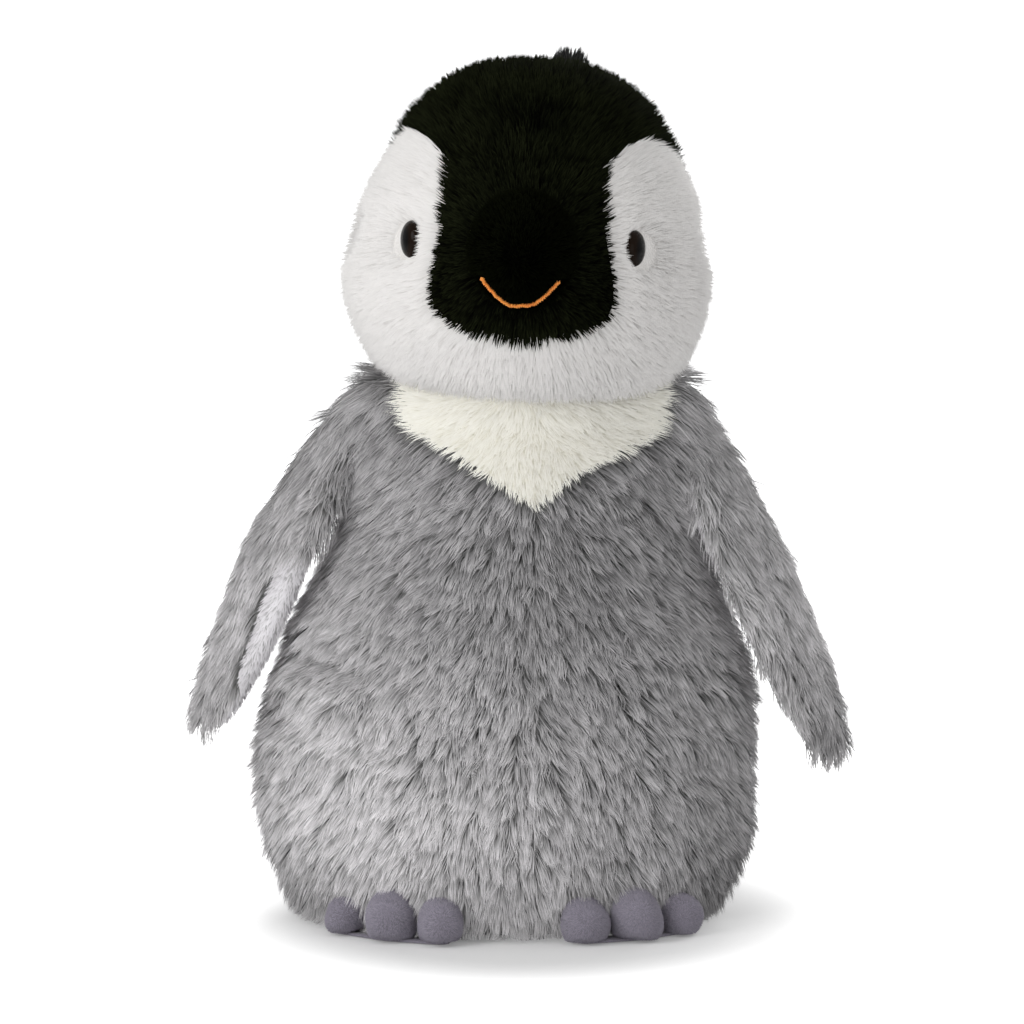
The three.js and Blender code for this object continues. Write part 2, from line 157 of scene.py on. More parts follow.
def paper():
    """Pale paper with a painted glow, seen by the camera only: white far from the toy, dim round its feet.
    """
    material, shader, nodes, links = new_material("floor_paper")
    shader.inputs["Base Color"].default_value = PAPER_COLOUR
    shader.inputs["Roughness"].default_value = 0.75
    shader.inputs["Emission Color"].default_value = WHITE
    place = nodes.new("ShaderNodeTexCoord")
    oval = nodes.new("ShaderNodeVectorMath")
    oval.operation = "MULTIPLY"
    oval.inputs[1].default_value = PAPER_OVAL
    reach = nodes.new("ShaderNodeVectorMath")
    reach.operation = "DISTANCE"
    reach.inputs[1].default_value = PAPER_MIDDLE
    fade = nodes.new("ShaderNodeMapRange")
    fade.interpolation_type = "SMOOTHSTEP"
    fade.inputs["From Min"].default_value = PAPER_NEAR
    fade.inputs["From Max"].default_value = PAPER_FAR
    fade.inputs["To Min"].default_value = PAPER_GLOW
    fade.inputs["To Max"].default_value = 1.0
    # Only the camera sees this painted glow.
    path = nodes.new("ShaderNodeLightPath")
    both = nodes.new("ShaderNodeMath")
    both.operation = "MULTIPLY"
    links.new(place.outputs["Object"], oval.inputs[0])
    links.new(oval.outputs["Vector"], reach.inputs[0])
    links.new(reach.outputs["Value"], fade.inputs["Value"])
    links.new(fade.outputs["Result"], both.inputs[0])
    links.new(path.outputs["Is Camera Ray"], both.inputs[1])
    links.new(both.outputs[0], shader.inputs["Emission Strength"])
    return material


floor_mesh = bpy.data.meshes.new("floor")
corners = [(-FLOOR_HALF, -FLOOR_HALF, 0), (FLOOR_HALF, -FLOOR_HALF, 0)]
corners += [(FLOOR_HALF, FLOOR_HALF, 0), (-FLOOR_HALF, FLOOR_HALF, 0)]
floor_mesh.from_pydata(corners, [], [(0, 1, 2, 3)])
floor = show(bpy.data.objects.new("floor", floor_mesh))
floor.location.z = -FLOOR_DROP
floor_mesh.materials.append(paper())

# %% [markdown]
# The finishes come from three shared node groups. Pile colour runs along each strand from its dark
# root to its pale tip; the dark root is partly the pile's own colour and partly painted shade, where
# the strands, which cast no shadow, would shade each other. Nap is the cloudy, finely grained look of
# brushed velour. Weave is the over and under of flat cloth. Each material places a group and adds its
# own colours.

# %% Node group helpers
def new_group(name, inputs, outputs):
    """An empty shader group with named sockets; each input is a name, a kind and a value."""
    group = bpy.data.node_groups.new(name, "ShaderNodeTree")
    for label, kind, value in inputs:
        socket = group.interface.new_socket(name=label, in_out="INPUT", socket_type=kind)
        socket.default_value = value
    for label, kind in outputs:
        group.interface.new_socket(name=label, in_out="OUTPUT", socket_type=kind)
    return group, group.nodes.new("NodeGroupInput"), group.nodes.new("NodeGroupOutput")


def maths(tree, operation, a, b=None, c=None):
    """One maths node; each input is a socket or a number."""
    node = tree.nodes.new("ShaderNodeMath")
    node.operation = operation
    for slot, value in zip(node.inputs, (a, b, c)):
        if isinstance(value, (int, float)):
            slot.default_value = value
        elif value is not None:
            tree.links.new(value, slot)
    return node.outputs[0]


def blend_colours(tree, factor, first, second):
    node = tree.nodes.new("ShaderNodeMix")
    node.data_type = "RGBA"
    tree.links.new(factor, node.inputs["Factor"])
    tree.links.new(first, node.inputs[6])
    tree.links.new(second, node.inputs[7])
    return node.outputs[2]


def smooth_step(tree, value, low, high):
    node = tree.nodes.new("ShaderNodeMapRange")
    node.interpolation_type = "SMOOTHSTEP"
    node.inputs["From Min"].default_value = low
    node.inputs["From Max"].default_value = high
    tree.links.new(value, node.inputs["Value"])
    return node.outputs["Result"]


# %% Pile colour group
STRAND_CHART = "OFBake"
COLOUR = "NodeSocketColor"
NUMBER = "NodeSocketFloat"
GREY = (0.5, 0.5, 0.5, 1.0)
ROOT_TO_MIDDLE = (0.0, 0.5)
MIDDLE_TO_TIP = (0.4, 1.0)
# A strand's tone is kept in the chart as a share of this range, and a tone of 0.5 is plain.
TONE_RANGE = 1.5
PLAIN_TONE = 0.5


def pile_colour_group():
    """Colour along a strand. The chart's X keeps the strand's tone, and its Y the height on the strand."""
    inputs = [(label, COLOUR, GREY) for label in ("Root", "Middle", "Tip")] + [("Spread", NUMBER, 1.0)]
    group, start, end = new_group("pile_colour", inputs, [("Color", COLOUR)])
    chart = group.nodes.new("ShaderNodeUVMap")
    chart.uv_map = STRAND_CHART
    split = group.nodes.new("ShaderNodeSeparateXYZ")
    group.links.new(chart.outputs["UV"], split.inputs[0])
    # Darker towards the root: partly the pile's own colour, partly painted shade between the strands.
    lower = smooth_step(group, split.outputs["Y"], *ROOT_TO_MIDDLE)
    upper = smooth_step(group, split.outputs["Y"], *MIDDLE_TO_TIP)
    shade = blend_colours(group, lower, start.outputs["Root"], start.outputs["Middle"])
    shade = blend_colours(group, upper, shade, start.outputs["Tip"])
    full = maths(group, "MULTIPLY", split.outputs["X"], TONE_RANGE)
    centred = maths(group, "SUBTRACT", full, PLAIN_TONE)
    gain = maths(group, "MULTIPLY_ADD", centred, start.outputs["Spread"], 1.0)
    scaled = group.nodes.new("ShaderNodeVectorMath")
    scaled.operation = "SCALE"
    group.links.new(shade, scaled.inputs[0])
    group.links.new(gain, scaled.inputs["Scale"])
    group.links.new(scaled.outputs[0], end.inputs["Color"])
    return group


PILE_COLOUR = pile_colour_group()

# %% Nap group
CLOUD_SCALE = 130.0
GRAIN_SHARE = 0.55


def nap_group():
    """Brushed velour: soft clouds of tone, and a fine grain."""
    inputs = [("Dark", COLOUR, GREY), ("Light", COLOUR, GREY), ("Grain", NUMBER, 1400.0)]
    group, start, end = new_group("nap", inputs, [("Color", COLOUR), ("Height", NUMBER)])
    place = group.nodes.new("ShaderNodeTexCoord")
    clouds = group.nodes.new("ShaderNodeTexNoise")
    clouds.inputs["Scale"].default_value = CLOUD_SCALE
    clouds.inputs["Detail"].default_value = 3.0
    grain = group.nodes.new("ShaderNodeTexNoise")
    grain.inputs["Detail"].default_value = 2.0
    group.links.new(place.outputs["Object"], clouds.inputs["Vector"])
    group.links.new(place.outputs["Object"], grain.inputs["Vector"])
    group.links.new(start.outputs["Grain"], grain.inputs["Scale"])
    cloudy = maths(group, "MULTIPLY", clouds.outputs["Fac"], 1.0 - GRAIN_SHARE)
    mixed = maths(group, "MULTIPLY_ADD", grain.outputs["Fac"], GRAIN_SHARE, cloudy)
    tone = smooth_step(group, mixed, 0.3, 0.7)
    shade = blend_colours(group, tone, start.outputs["Dark"], start.outputs["Light"])
    group.links.new(shade, end.inputs["Color"])
    group.links.new(grain.outputs["Fac"], end.inputs["Height"])
    return group


NAP = nap_group()

# %% Weave group
WAY = "NodeSocketVector"


def weave_group():
    """Plain weave: two sets of threads that take turns to lie on top."""
    inputs = [("Warp Way", WAY, (1, 0, 0)), ("Weft Way", WAY, (0, 1, 0)), ("Threads", NUMBER, 1000.0)]
    inputs += [("Thread", COLOUR, GREY), ("Gap", COLOUR, GREY)]
    group, start, end = new_group("weave", inputs, [("Color", COLOUR), ("Height", NUMBER)])
    place = group.nodes.new("ShaderNodeTexCoord")
    counts, ridges = [], []
    for label in ("Warp Way", "Weft Way"):
        dot = group.nodes.new("ShaderNodeVectorMath")
        dot.operation = "DOT_PRODUCT"
        group.links.new(place.outputs["Object"], dot.inputs[0])
        group.links.new(start.outputs[label], dot.inputs[1])
        along = maths(group, "MULTIPLY", dot.outputs["Value"], start.outputs["Threads"])
        counts.append(maths(group, "FLOOR", along))
        wave = maths(group, "SINE", maths(group, "MULTIPLY", along, math.pi))
        ridges.append(maths(group, "ABSOLUTE", wave))
    parity = maths(group, "FLOORED_MODULO", maths(group, "ADD", counts[0], counts[1]), 2.0)
    spare = maths(group, "MULTIPLY", ridges[1], maths(group, "SUBTRACT", 1.0, parity))
    height = maths(group, "MULTIPLY_ADD", ridges[0], parity, spare)
    raised = smooth_step(group, height, 0.0, 0.6)
    shade = blend_colours(group, raised, start.outputs["Gap"], start.outputs["Thread"])
    group.links.new(shade, end.inputs["Color"])
    group.links.new(height, end.inputs["Height"])
    return group


WEAVE = weave_group()
print("shared groups:", [group.name for group in bpy.data.node_groups])

# %% Material makers
def cloth_material(name, group, values, roughness, sheen, relief, specular=0.3):
    """A Principled material whose colour, and relief if there is any, come from a shared group."""
    material, shader, nodes, links = new_material(name)
    shader.inputs["Roughness"].default_value = roughness
    shader.inputs["Specular IOR Level"].default_value = specular
    shader.inputs["Sheen Weight"].default_value = sheen
    effect = nodes.new("ShaderNodeGroup")
    effect.node_tree = group
    for label, value in values.items():
        socket = effect.inputs[label]
        socket.default_value = (*value, 1.0) if socket.type == "RGBA" else value
    links.new(effect.outputs["Color"], shader.inputs["Base Color"])
    if relief:
        bump = nodes.new("ShaderNodeBump")
        bump.inputs["Distance"].default_value = relief
        links.new(effect.outputs["Height"], bump.inputs["Height"])
        links.new(bump.outputs["Normal"], shader.inputs["Normal"])
    return material


def pile(name, root, middle, tip, spread, specular=0.2, roughness=0.75):
    values = {"Root": root, "Middle": middle, "Tip": tip, "Spread": spread}
    return cloth_material(name, PILE_COLOUR, values, roughness, 0.0, 0.0, specular)


def nap(name, dark, light, grain=1400.0, relief=0.25 * MM, sheen=0.3, specular=0.3):
    values = {"Dark": dark, "Light": light, "Grain": grain}
    return cloth_material(name, NAP, values, 0.9, sheen, relief, specular)


def weave(name, thread, gap, threads, warp=(1, 0, 0), weft=(0, 1, 0)):
    values = {"Warp Way": warp, "Weft Way": weft, "Threads": threads, "Thread": thread, "Gap": gap}
    return cloth_material(name, WEAVE, values, 0.85, 0.1, 0.2 * MM)


# %% Pile materials
# Each has its colour at the root, the middle and the tip, and how much the strands differ. The darker
# root and middle are partly the pile's own colour and partly painted shade for the shadows that the
# strands don't cast.
silver_shag = pile("silver_shag", (0.1, 0.1, 0.096), (0.265, 0.261, 0.263), (0.56, 0.547, 0.557), 1.3)
# Its paler tips are partly the pile's own colour and partly a painted highlight, the grey sheen of fine
# black fur.
black_pile = pile(
    "black_pile", (0.001, 0.001, 0.0006), (0.0028, 0.0034, 0.0012), (0.009, 0.011, 0.0045), 3.0,
    specular=0.02, roughness=0.8,
)
beak_pile = pile(
    "beak_pile", (0.0006, 0.0006, 0.0004), (0.0016, 0.0018, 0.0008), (0.005, 0.006, 0.0025), 2.0,
    specular=0.0, roughness=1.0,
)
tuft_pile = pile("tuft_pile", (0.002, 0.002, 0.002), (0.004, 0.004, 0.004), (0.011, 0.011, 0.01), 1.0)
white_pile = pile("white_pile", (0.8, 0.785, 0.77), (0.86, 0.845, 0.83), (0.91, 0.895, 0.88), 0.2)
ivory_pile = pile("ivory_pile", (0.86, 0.84, 0.75), (0.92, 0.905, 0.83), (0.97, 0.96, 0.9), 0.2)
lining_pile = pile("lining_pile", (0.68, 0.665, 0.68), (0.76, 0.745, 0.765), (0.84, 0.825, 0.85), 0.3)
toe_fuzz = pile("toe_fuzz", (0.24, 0.222, 0.27), (0.29, 0.27, 0.325), (0.37, 0.345, 0.41), 0.4)

# %% Cloth, filling and thread materials
toe_velour = nap("toe_velour", (0.17, 0.157, 0.19), (0.25, 0.232, 0.28))
silver_backing = nap("silver_backing", (0.1, 0.1, 0.1), (0.18, 0.18, 0.18))
black_backing = nap(
    "black_backing", (0.0006, 0.0006, 0.0004), (0.0015, 0.0015, 0.001), sheen=0.0, specular=0.0)
white_backing = nap("white_backing", (0.72, 0.7, 0.68), (0.82, 0.8, 0.78))
ivory_backing = nap("ivory_backing", (0.8, 0.78, 0.7), (0.9, 0.88, 0.8))
lining_backing = nap("lining_backing", (0.45, 0.44, 0.45), (0.6, 0.59, 0.6))
base_cloth = weave("base_cloth", (0.22, 0.22, 0.23), (0.08, 0.08, 0.085), 900.0)
bean_cloth = weave("bean_cloth", (0.7, 0.68, 0.62), (0.35, 0.33, 0.3), 1200.0)
label_tape = weave("label_tape", (0.86, 0.86, 0.85), (0.6, 0.6, 0.6), 2500.0, (0.6, 0.8, 0), (0, 0, 1))
filling_fibre = nap("filling_fibre", (0.6, 0.6, 0.6), (0.85, 0.85, 0.85), grain=500.0, relief=0.8 * MM)
smile_thread = nap(
    "smile_thread", (0.85, 0.25, 0.04), (1.0, 0.42, 0.09), grain=2500.0, relief=0.1 * MM, sheen=0.1)
washer_plastic = nap(
    "washer_plastic", (0.6, 0.6, 0.58), (0.7, 0.7, 0.68), grain=300.0, relief=0.05 * MM, sheen=0.0)
print("materials:", len(bpy.data.materials))

# %% [markdown]
# Every skin starts from the CAD solids that it stands for. They are merged with a voxel remesh, and
# the surface is drawn in to leave room for the pile that will grow on it. Close to the base and the
# neck it is drawn in less, because the pile is short or lies flat there.

# %% Read the CAD nodes
def node_shape(name):
    """The points and faces of one CAD solid."""
    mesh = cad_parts[name].data
    points = np.empty(len(mesh.vertices) * 3)
    mesh.vertices.foreach_get("co", points)
    return points.reshape(-1, 3), [tuple(face.vertices) for face in mesh.polygons]


def merged(names):
    """The points and faces of several nodes, and the node that each face is from."""
    points, faces, owners = [], [], []
    for name in names:
        spots, sides = node_shape(name)
        shift = sum(len(part) for part in points)
        points.append(spots)
        faces.extend(tuple(i + shift for i in side) for side in sides)
        owners.extend([name] * len(sides))
    return np.concatenate(points), faces, owners


def make_object(name, points, faces):
    mesh = bpy.data.meshes.new(name)
    mesh.from_pydata([tuple(p) for p in points], [], faces)
    mesh.update()
    return show(bpy.data.objects.new(name, mesh))


def points_of(thing):
    mesh = thing.data
    values = np.empty(len(mesh.vertices) * 3)
    mesh.vertices.foreach_get("co", values)
    return values.reshape(-1, 3)


def normals_of(thing):
    return np.array([vert.normal for vert in thing.data.vertices])


def set_points(thing, points):
    thing.data.vertices.foreach_set("co", points.ravel())
    thing.data.update()


def unit(vectors):
    return vectors / np.maximum(np.linalg.norm(vectors, axis=-1, keepdims=True), 1e-12)


def ramp(values, low, high):
    """0 below low and 1 above high, with a smooth rise between."""
    t = np.clip((values - low) / (high - low), 0, 1)
    return t * t * (3 - 2 * t)


def nearness(points, centre, reach):
    """1 at the centre, and falls away smoothly over this reach."""
    return np.exp(-(np.linalg.norm(points - centre, axis=1) / reach) ** 2)


def surface_tree(points, faces):
    """A search tree that finds the nearest spot on a surface."""
    return BVHTree.FromPolygons([Vector(p) for p in points], faces)


# %% Grow one closed form around nodes
def bake_modifiers(thing):
    """Replaces the object's mesh with what its modifiers make of it."""
    graph = bpy.context.evaluated_depsgraph_get()
    result = bpy.data.meshes.new_from_object(thing.evaluated_get(graph))
    old = thing.data
    thing.modifiers.clear()
    thing.data = result
    bpy.data.meshes.remove(old)


def keep_outer_shell(thing):
    """Drops every loose part except the outer surface."""
    form = bmesh.new()
    form.from_mesh(thing.data)
    start = max(form.verts, key=lambda vert: vert.co.x)
    reached, queue = {start}, [start]
    while queue:
        for edge in queue.pop().link_edges:
            for vert in edge.verts:
                if vert not in reached:
                    reached.add(vert)
                    queue.append(vert)
    inner = [vert for vert in form.verts if vert not in reached]
    bmesh.ops.delete(form, geom=inner, context="VERTS")
    form.to_mesh(thing.data)
    form.free()


def wrap(thing):
    """Replaces the object's mesh with the tightest convex skin around its points."""
    form = bmesh.new()
    for point in points_of(thing):
        form.verts.new(point)
    made = bmesh.ops.convex_hull(form, input=form.verts)
    inside = {part for part in made["geom_interior"] if isinstance(part, bmesh.types.BMVert)}
    bmesh.ops.delete(form, geom=list(inside), context="VERTS")
    form.to_mesh(thing.data)
    form.free()
    return thing


def soft_form(name, nodes, voxel, depth, smoothing, hull=False, extra=None):
    """One smooth closed surface around the nodes, drawn in by a depth that may vary over it."""
    points, faces, _ = merged(nodes)
    if extra is not None:
        points = np.concatenate([points, extra])
    thing = make_object(name, points, faces)
    if hull:
        wrap(thing)
    remesh = thing.modifiers.new("remesh", "REMESH")
    remesh.mode = "VOXEL"
    remesh.voxel_size = voxel
    bake_modifiers(thing)
    keep_outer_shell(thing)
    smooth = thing.modifiers.new("smooth", "SMOOTH")
    smooth.factor = 0.5
    smooth.iterations = smoothing
    bake_modifiers(thing)
    points = points_of(thing)
    amount = depth(points) if callable(depth) else np.full(len(points), depth)
    set_points(thing, points - normals_of(thing) * amount[:, None])
    return thing


# %% [markdown]
# Filling makes each panel swell while the seams hold it back. Cloth pressure does the same: the form
# is blown up for a few frames with the points near a seam held still, and no point may move further
# than a small cap.

# %% Find a point's panel
def panel_finder(names):
    """A function that gives the nearest panel's name for each point."""
    points, faces, owners = merged(names)
    tree = surface_tree(points, faces)
    return lambda spots: np.array([owners[tree.find_nearest(Vector(p))[2]] for p in spots])


def seam_distance(spots, names):
    """How much further the second nearest panel is than the nearest one."""
    trees = []
    for name in names:
        points, faces, _ = merged([name])
        trees.append(surface_tree(points, faces))
    spans = []
    for p in spots:
        reach = sorted(tree.find_nearest(Vector(p))[3] for tree in trees)
        spans.append(reach[1] - reach[0])
    return np.array(spans)


# %% Cloth pressure
PUFF_FRAMES = 16


def puff(thing, panels, seam_width, pressure, cap):
    """Blows the form up between its seams."""
    start = points_of(thing)
    held = seam_distance(start, panels) < seam_width
    group = thing.vertex_groups.new(name="seams")
    group.add([int(i) for i in np.where(held)[0]], 1.0, "REPLACE")
    cloth = thing.modifiers.new("cloth", "CLOTH")
    cloth.settings.quality = 4
    cloth.settings.mass = 0.2
    cloth.settings.use_pressure = True
    cloth.settings.uniform_pressure_force = pressure
    cloth.settings.effector_weights.gravity = 0.0
    cloth.settings.vertex_group_mass = "seams"
    cloth.collision_settings.use_collision = False
    cloth.point_cache.frame_start = 1
    cloth.point_cache.frame_end = PUFF_FRAMES
    for step in range(1, PUFF_FRAMES + 1):
        bpy.context.scene.frame_set(step)
    bake_modifiers(thing)
    bpy.context.scene.frame_set(1)
    move = points_of(thing) - start
    length = np.linalg.norm(move, axis=1, keepdims=True)
    set_points(thing, start + move * np.minimum(1.0, cap / np.maximum(length, 1e-9)))
    thing.vertex_groups.clear()
    print(thing.name, "swelled by up to", round(float(length.max()) / MM, 2), "mm before the cap")


# %% Folds and creases
def press_fold(thing, start, end, depth, width, bulge=0.5):
    """Presses a crease between two points into the form, with a soft bulge on both sides. All in mm."""
    points, normals = points_of(thing), normals_of(thing)
    a, b = np.array(start) * MM, np.array(end) * MM
    along = np.clip(((points - a) @ (b - a)) / ((b - a) @ (b - a)), 0, 1)
    away = np.linalg.norm(points - (a + along[:, None] * (b - a)), axis=1) / (width * MM)
    ends = ramp(along, 0.0, 0.25) * ramp(1 - along, 0.0, 0.25) + 0.25
    amount = depth * MM * ends * (np.exp(-away ** 2) - bulge * np.exp(-((away - 2.0) / 0.9) ** 2))
    set_points(thing, points - normals * amount[:, None])


def waves(points, scale, seed):
    """Smooth noise from about -1 to 1, with hills about this far apart."""
    dice = np.random.default_rng(seed)
    total = np.zeros(len(points))
    for _ in range(6):
        way = unit(dice.normal(size=3)) * dice.uniform(0.7, 1.4)
        total += np.sin(points @ way * (2 * math.pi / scale) + dice.uniform(0, 2 * math.pi))
    return total / 3.0


def swell(thing, centre, way, height, width):
    """Pushes the surface around a point in one direction. Centre, height and width are in mm."""
    points = points_of(thing)
    amount = height * MM * nearness(points, np.array(centre) * MM, width * MM)
    set_points(thing, points + unit(np.array(way, dtype=float)) * amount[:, None])


# %% [markdown]
# A form is cut into one patch for each panel. The cut first follows the grid of the mesh, so the
# points on it are slid along the surface until the seam runs smoothly. Each patch then gets the
# thickness of its backing cloth, and is a closed skin of its own.

# %% Cut a form into skins
CLOTH_THICK = 1.0 * MM
# The outer surface of each panel, as points, normals and triangles. The pile grows on these.
surfaces = {}


def seam_points(faces, owners):
    """The points on a border between two panels, each with its two neighbours on that border."""
    sides = {}
    for face, owner in zip(faces, owners):
        for a, b in zip(face, face[1:] + face[:1]):
            sides.setdefault((min(a, b), max(a, b)), set()).add(owner)
    beside = {}
    for (a, b), touching in sides.items():
        if len(touching) > 1:
            beside.setdefault(a, []).append(b)
            beside.setdefault(b, []).append(a)
    chain = [(i, *pair) for i, pair in beside.items() if len(pair) == 2]
    return np.array(chain)


def smooth_seams(thing, owners, rounds=14):
    """Evens out the steps of the seams, and lays them back on the surface."""
    faces = [tuple(face.vertices) for face in thing.data.polygons]
    points = points_of(thing)
    tree = surface_tree(points, faces)
    chain = seam_points(faces, owners)
    for _ in range(rounds):
        middle = (points[chain[:, 1]] + points[chain[:, 2]]) / 2
        points[chain[:, 0]] = (points[chain[:, 0]] + middle) / 2
    for i in chain[:, 0]:
        points[i] = tree.find_nearest(Vector(points[i]))[0]
    set_points(thing, points)


def finish_piece(thing, node, material, body):
    """Smooths and paints a piece that stands for one node, attaches it to its body and hides the node."""
    thing.data.polygons.foreach_set("use_smooth", np.ones(len(thing.data.polygons), dtype=bool))
    thing.data.materials.clear()
    thing.data.materials.append(material)
    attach(thing, body)
    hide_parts(node)


def cut_skins(thing, names, looks, body, finder=None):
    """Cuts the form into skins, one for each named panel. Looks give each panel a slot name, which is not
    used, and its material.
    """
    centres = np.array([face.center for face in thing.data.polygons])
    owners = (finder or panel_finder(names))(centres)
    smooth_seams(thing, owners)
    points, normals = points_of(thing), normals_of(thing)
    faces = [tuple(face.vertices) for face in thing.data.polygons]
    for name in names:
        mine = [face for face, owner in zip(faces, owners) if owner == name]
        used = sorted({i for face in mine for i in face})
        renumber = {old: new for new, old in enumerate(used)}
        local = [tuple(renumber[i] for i in face) for face in mine]
        fans = [(face[0], face[k], face[k + 1]) for face in local for k in range(1, len(face) - 1)]
        surfaces[name] = (points[used], normals[used], np.array(fans))
        skin = make_object(f"skin_{name}", points[used], local)
        solid = skin.modifiers.new("cloth_thickness", "SOLIDIFY")
        solid.thickness = CLOTH_THICK
        solid.offset = -1.0
        bake_modifiers(skin)
        slot, material = looks[name]
        finish_piece(skin, name, material, body)
    bpy.data.objects.remove(thing)
    print("cut", len(names), "skins:", ", ".join(names))


# %% [markdown]
# The torso is the biggest form. Its front seam pulls a groove down the belly, and the slack filling
# lets the sides sag in soft folds under the flippers. The swells and folds are short lists of places,
# so each can be moved without touching the others.

# %% Torso skins
BODY_PANELS = ["belly_panel_left", "belly_panel_right", "back_panel_left", "back_panel_right", "bib"]
TORSO_PANELS = BODY_PANELS + ["base_panel"]
SHAG_DEPTH = 4.5 * MM
LEAST_DEPTH = 0.5 * MM
HEM_HEIGHTS = (1 * MM, 10 * MM)
COLLAR_HEIGHTS = (172 * MM, 181 * MM)
COLLAR_SHARE = 0.85
FLOOR_GAP = 0.6 * MM
BIB_POINT = np.array([5.0, -58.0, 152.0]) * MM
BIB_PULL = np.array([-3.0, 0.0, 3.0]) * MM
BIB_REACH = 18 * MM
BIB_ENDS = (-38.0 * MM, 46.0 * MM)


def torso_depth(points):
    """How far the skin is drawn in: the shag's depth, but less by the floor and round the neck."""
    height = points[:, 2]
    share = ramp(height, *HEM_HEIGHTS) * (1 - COLLAR_SHARE * ramp(height, *COLLAR_HEIGHTS))
    return LEAST_DEPTH + (SHAG_DEPTH - LEAST_DEPTH) * share


def torso_finder(spots):
    """The bib ends under the cheeks, and its point hangs a little lower and to one side."""
    moved = spots + np.outer(nearness(spots, BIB_POINT, BIB_REACH), BIB_PULL)
    found = panel_finder(TORSO_PANELS)(moved)
    x = spots[:, 0]
    found[(found == "bib") & (x < BIB_ENDS[0])] = "belly_panel_right"
    found[(found == "bib") & (x > BIB_ENDS[1])] = "belly_panel_left"
    return found


torso = soft_form("torso_form", TORSO_PANELS + ["body_filling", "bean_pouch"], 3.0 * MM, torso_depth, 6)
puff(torso, TORSO_PANELS, 2.2 * MM, 4.0, 2.5 * MM)

# %% Shape the torso
# Each swell has its place and its direction, then its height and its width, in mm.
SHOULDER_SWELLS = (
    ((44, -3, 176), (1, 0, 0.25), 10.0, 19),
    ((57, -8, 164), (1, -0.3, 0.1), 3.5, 13),
    ((60, -5, 132), (1, 0, 0), 3.5, 24),
)
SIDE_SWELLS = (
    ((-82, -5, 52), (-1, 0, 0), 3.0, 30),
    ((74, -10, 28), (1, 0, 0), 4.0, 24),
    ((-66, -5, 108), (-1, 0, 0), 5.0, 20),
    ((68, -5, 87), (1, 0, 0), 7.0, 26),
    ((66, -5, 104), (1, 0, 0), 1.8, 14),
    ((-50, -5, 176), (-1, 0, 0.2), 3.0, 15),
)
# Each fold has its two ends, then its depth and its width, in mm. The first two are the front seam.
FOLDS = (
    ((7, -68, 150), (5, -66, 104), 1.6, 5),
    ((6, -66, 108), (1, -68, 24), 4.8, 3),
    ((-88, -6, 76), (-36, -58, 68), 4.0, 5),
    ((-82, -10, 98), (-44, -54, 94), 3.0, 5),
    ((42, -55, 98), (80, -12, 88), 3.6, 5),
    ((46, -54, 62), (82, -14, 54), 3.2, 5),
    ((-60, 40, 84), (60, 44, 78), 2.4, 8),
)
for sign in (-1, 1):
    for (x, y, z), (across, back, up), height, width in SHOULDER_SWELLS:
        swell(torso, (sign * x, y, z), (sign * across, back, up), height, width)
for place, way, height, width in SIDE_SWELLS:
    swell(torso, place, way, height, width)
for start, end, depth, width in FOLDS:
    press_fold(torso, start, end, depth, width)
print("torso shaped with", len(SIDE_SWELLS) + 2 * len(SHOULDER_SWELLS), "swells and", len(FOLDS), "folds")

# %% Cut the torso
spots = points_of(torso)
spots[:, 2] = np.maximum(spots[:, 2], FLOOR_GAP)
set_points(torso, spots)
torso_looks = {name: ("grey_shag", silver_backing) for name in BODY_PANELS}
torso_looks["bib"] = ("ivory_pile", ivory_backing)
torso_looks["base_panel"] = ("base_cloth", base_cloth)
cut_skins(torso, TORSO_PANELS, torso_looks, "torso", torso_finder)

# %% [markdown]
# The head is one convex form, so that it stays round where the panels meet. The mask swells forward
# behind the beak, which makes the face, and one cheek is a little fuller than the other.

# %% Head skins
HEAD_PANELS = ["face_mask", "crown_left", "crown_right", "cheek_left", "cheek_right"]
HEAD_DEPTH = 2.2 * MM
NECK_DEPTH = 0.6 * MM
NECK_HEIGHTS = (187 * MM, 198 * MM)
BROW = np.array([29.0, -48.0, 258.0]) * MM
BROW_PULL = np.array([3.2, 0.0, 0.0]) * MM
BROW_REACH = 15 * MM


def head_depth(points):
    """How far the skin is drawn in: least where the head sits on the torso."""
    return NECK_DEPTH + (HEAD_DEPTH - NECK_DEPTH) * ramp(points[:, 2], *NECK_HEIGHTS)


def head_finder(spots):
    """One cheek reaches further in at the brow."""
    moved = spots + np.outer(nearness(spots, BROW, BROW_REACH), BROW_PULL)
    return panel_finder(HEAD_PANELS)(moved)


head = soft_form("head_form", HEAD_PANELS, 3.0 * MM, head_depth, 4, hull=True)
puff(head, HEAD_PANELS, 2.0 * MM, 3.0, 2.0 * MM)
HEAD_SWELLS = (
    ((0, -58, 231), (0, -1, 0), 8.0, 20),
    ((-60, -10, 222), (-1, 0, 0), 2.5, 26),
)
for place, way, height, width in HEAD_SWELLS:
    swell(head, place, way, height, width)
head_looks = {name: ("black_pile", black_backing) for name in HEAD_PANELS}
head_looks["cheek_left"] = head_looks["cheek_right"] = ("white_pile", white_backing)
cut_skins(head, HEAD_PANELS, head_looks, "head", head_finder)

# %% [markdown]
# The flippers are flat bags with shag outside and short plush inside. Each is wrapped around its own
# solids and a ball at the shoulder, so that no gap opens when it lifts. The tail and the beak are made
# in the same way, without the ball.

# %% Flipper measures
SIDES = {"left": 1.0, "right": -1.0}
SHOULDER_BALL = 8.5 * MM
SHOULDER_IN = 6.0 * MM
SHOULDER_DOWN = 4.0 * MM
# The share of its width that the flipper loses on the edge away from the torso, and on the edge towards
# it. A negative share makes it wider.
OUTER_EDGE_IN = 0.28
INNER_EDGE_IN = {"left": -0.42, "right": -0.3}
SLIM_FROM_TOP = 30 * MM
LONGER = {"left": 0.06, "right": 0.01}
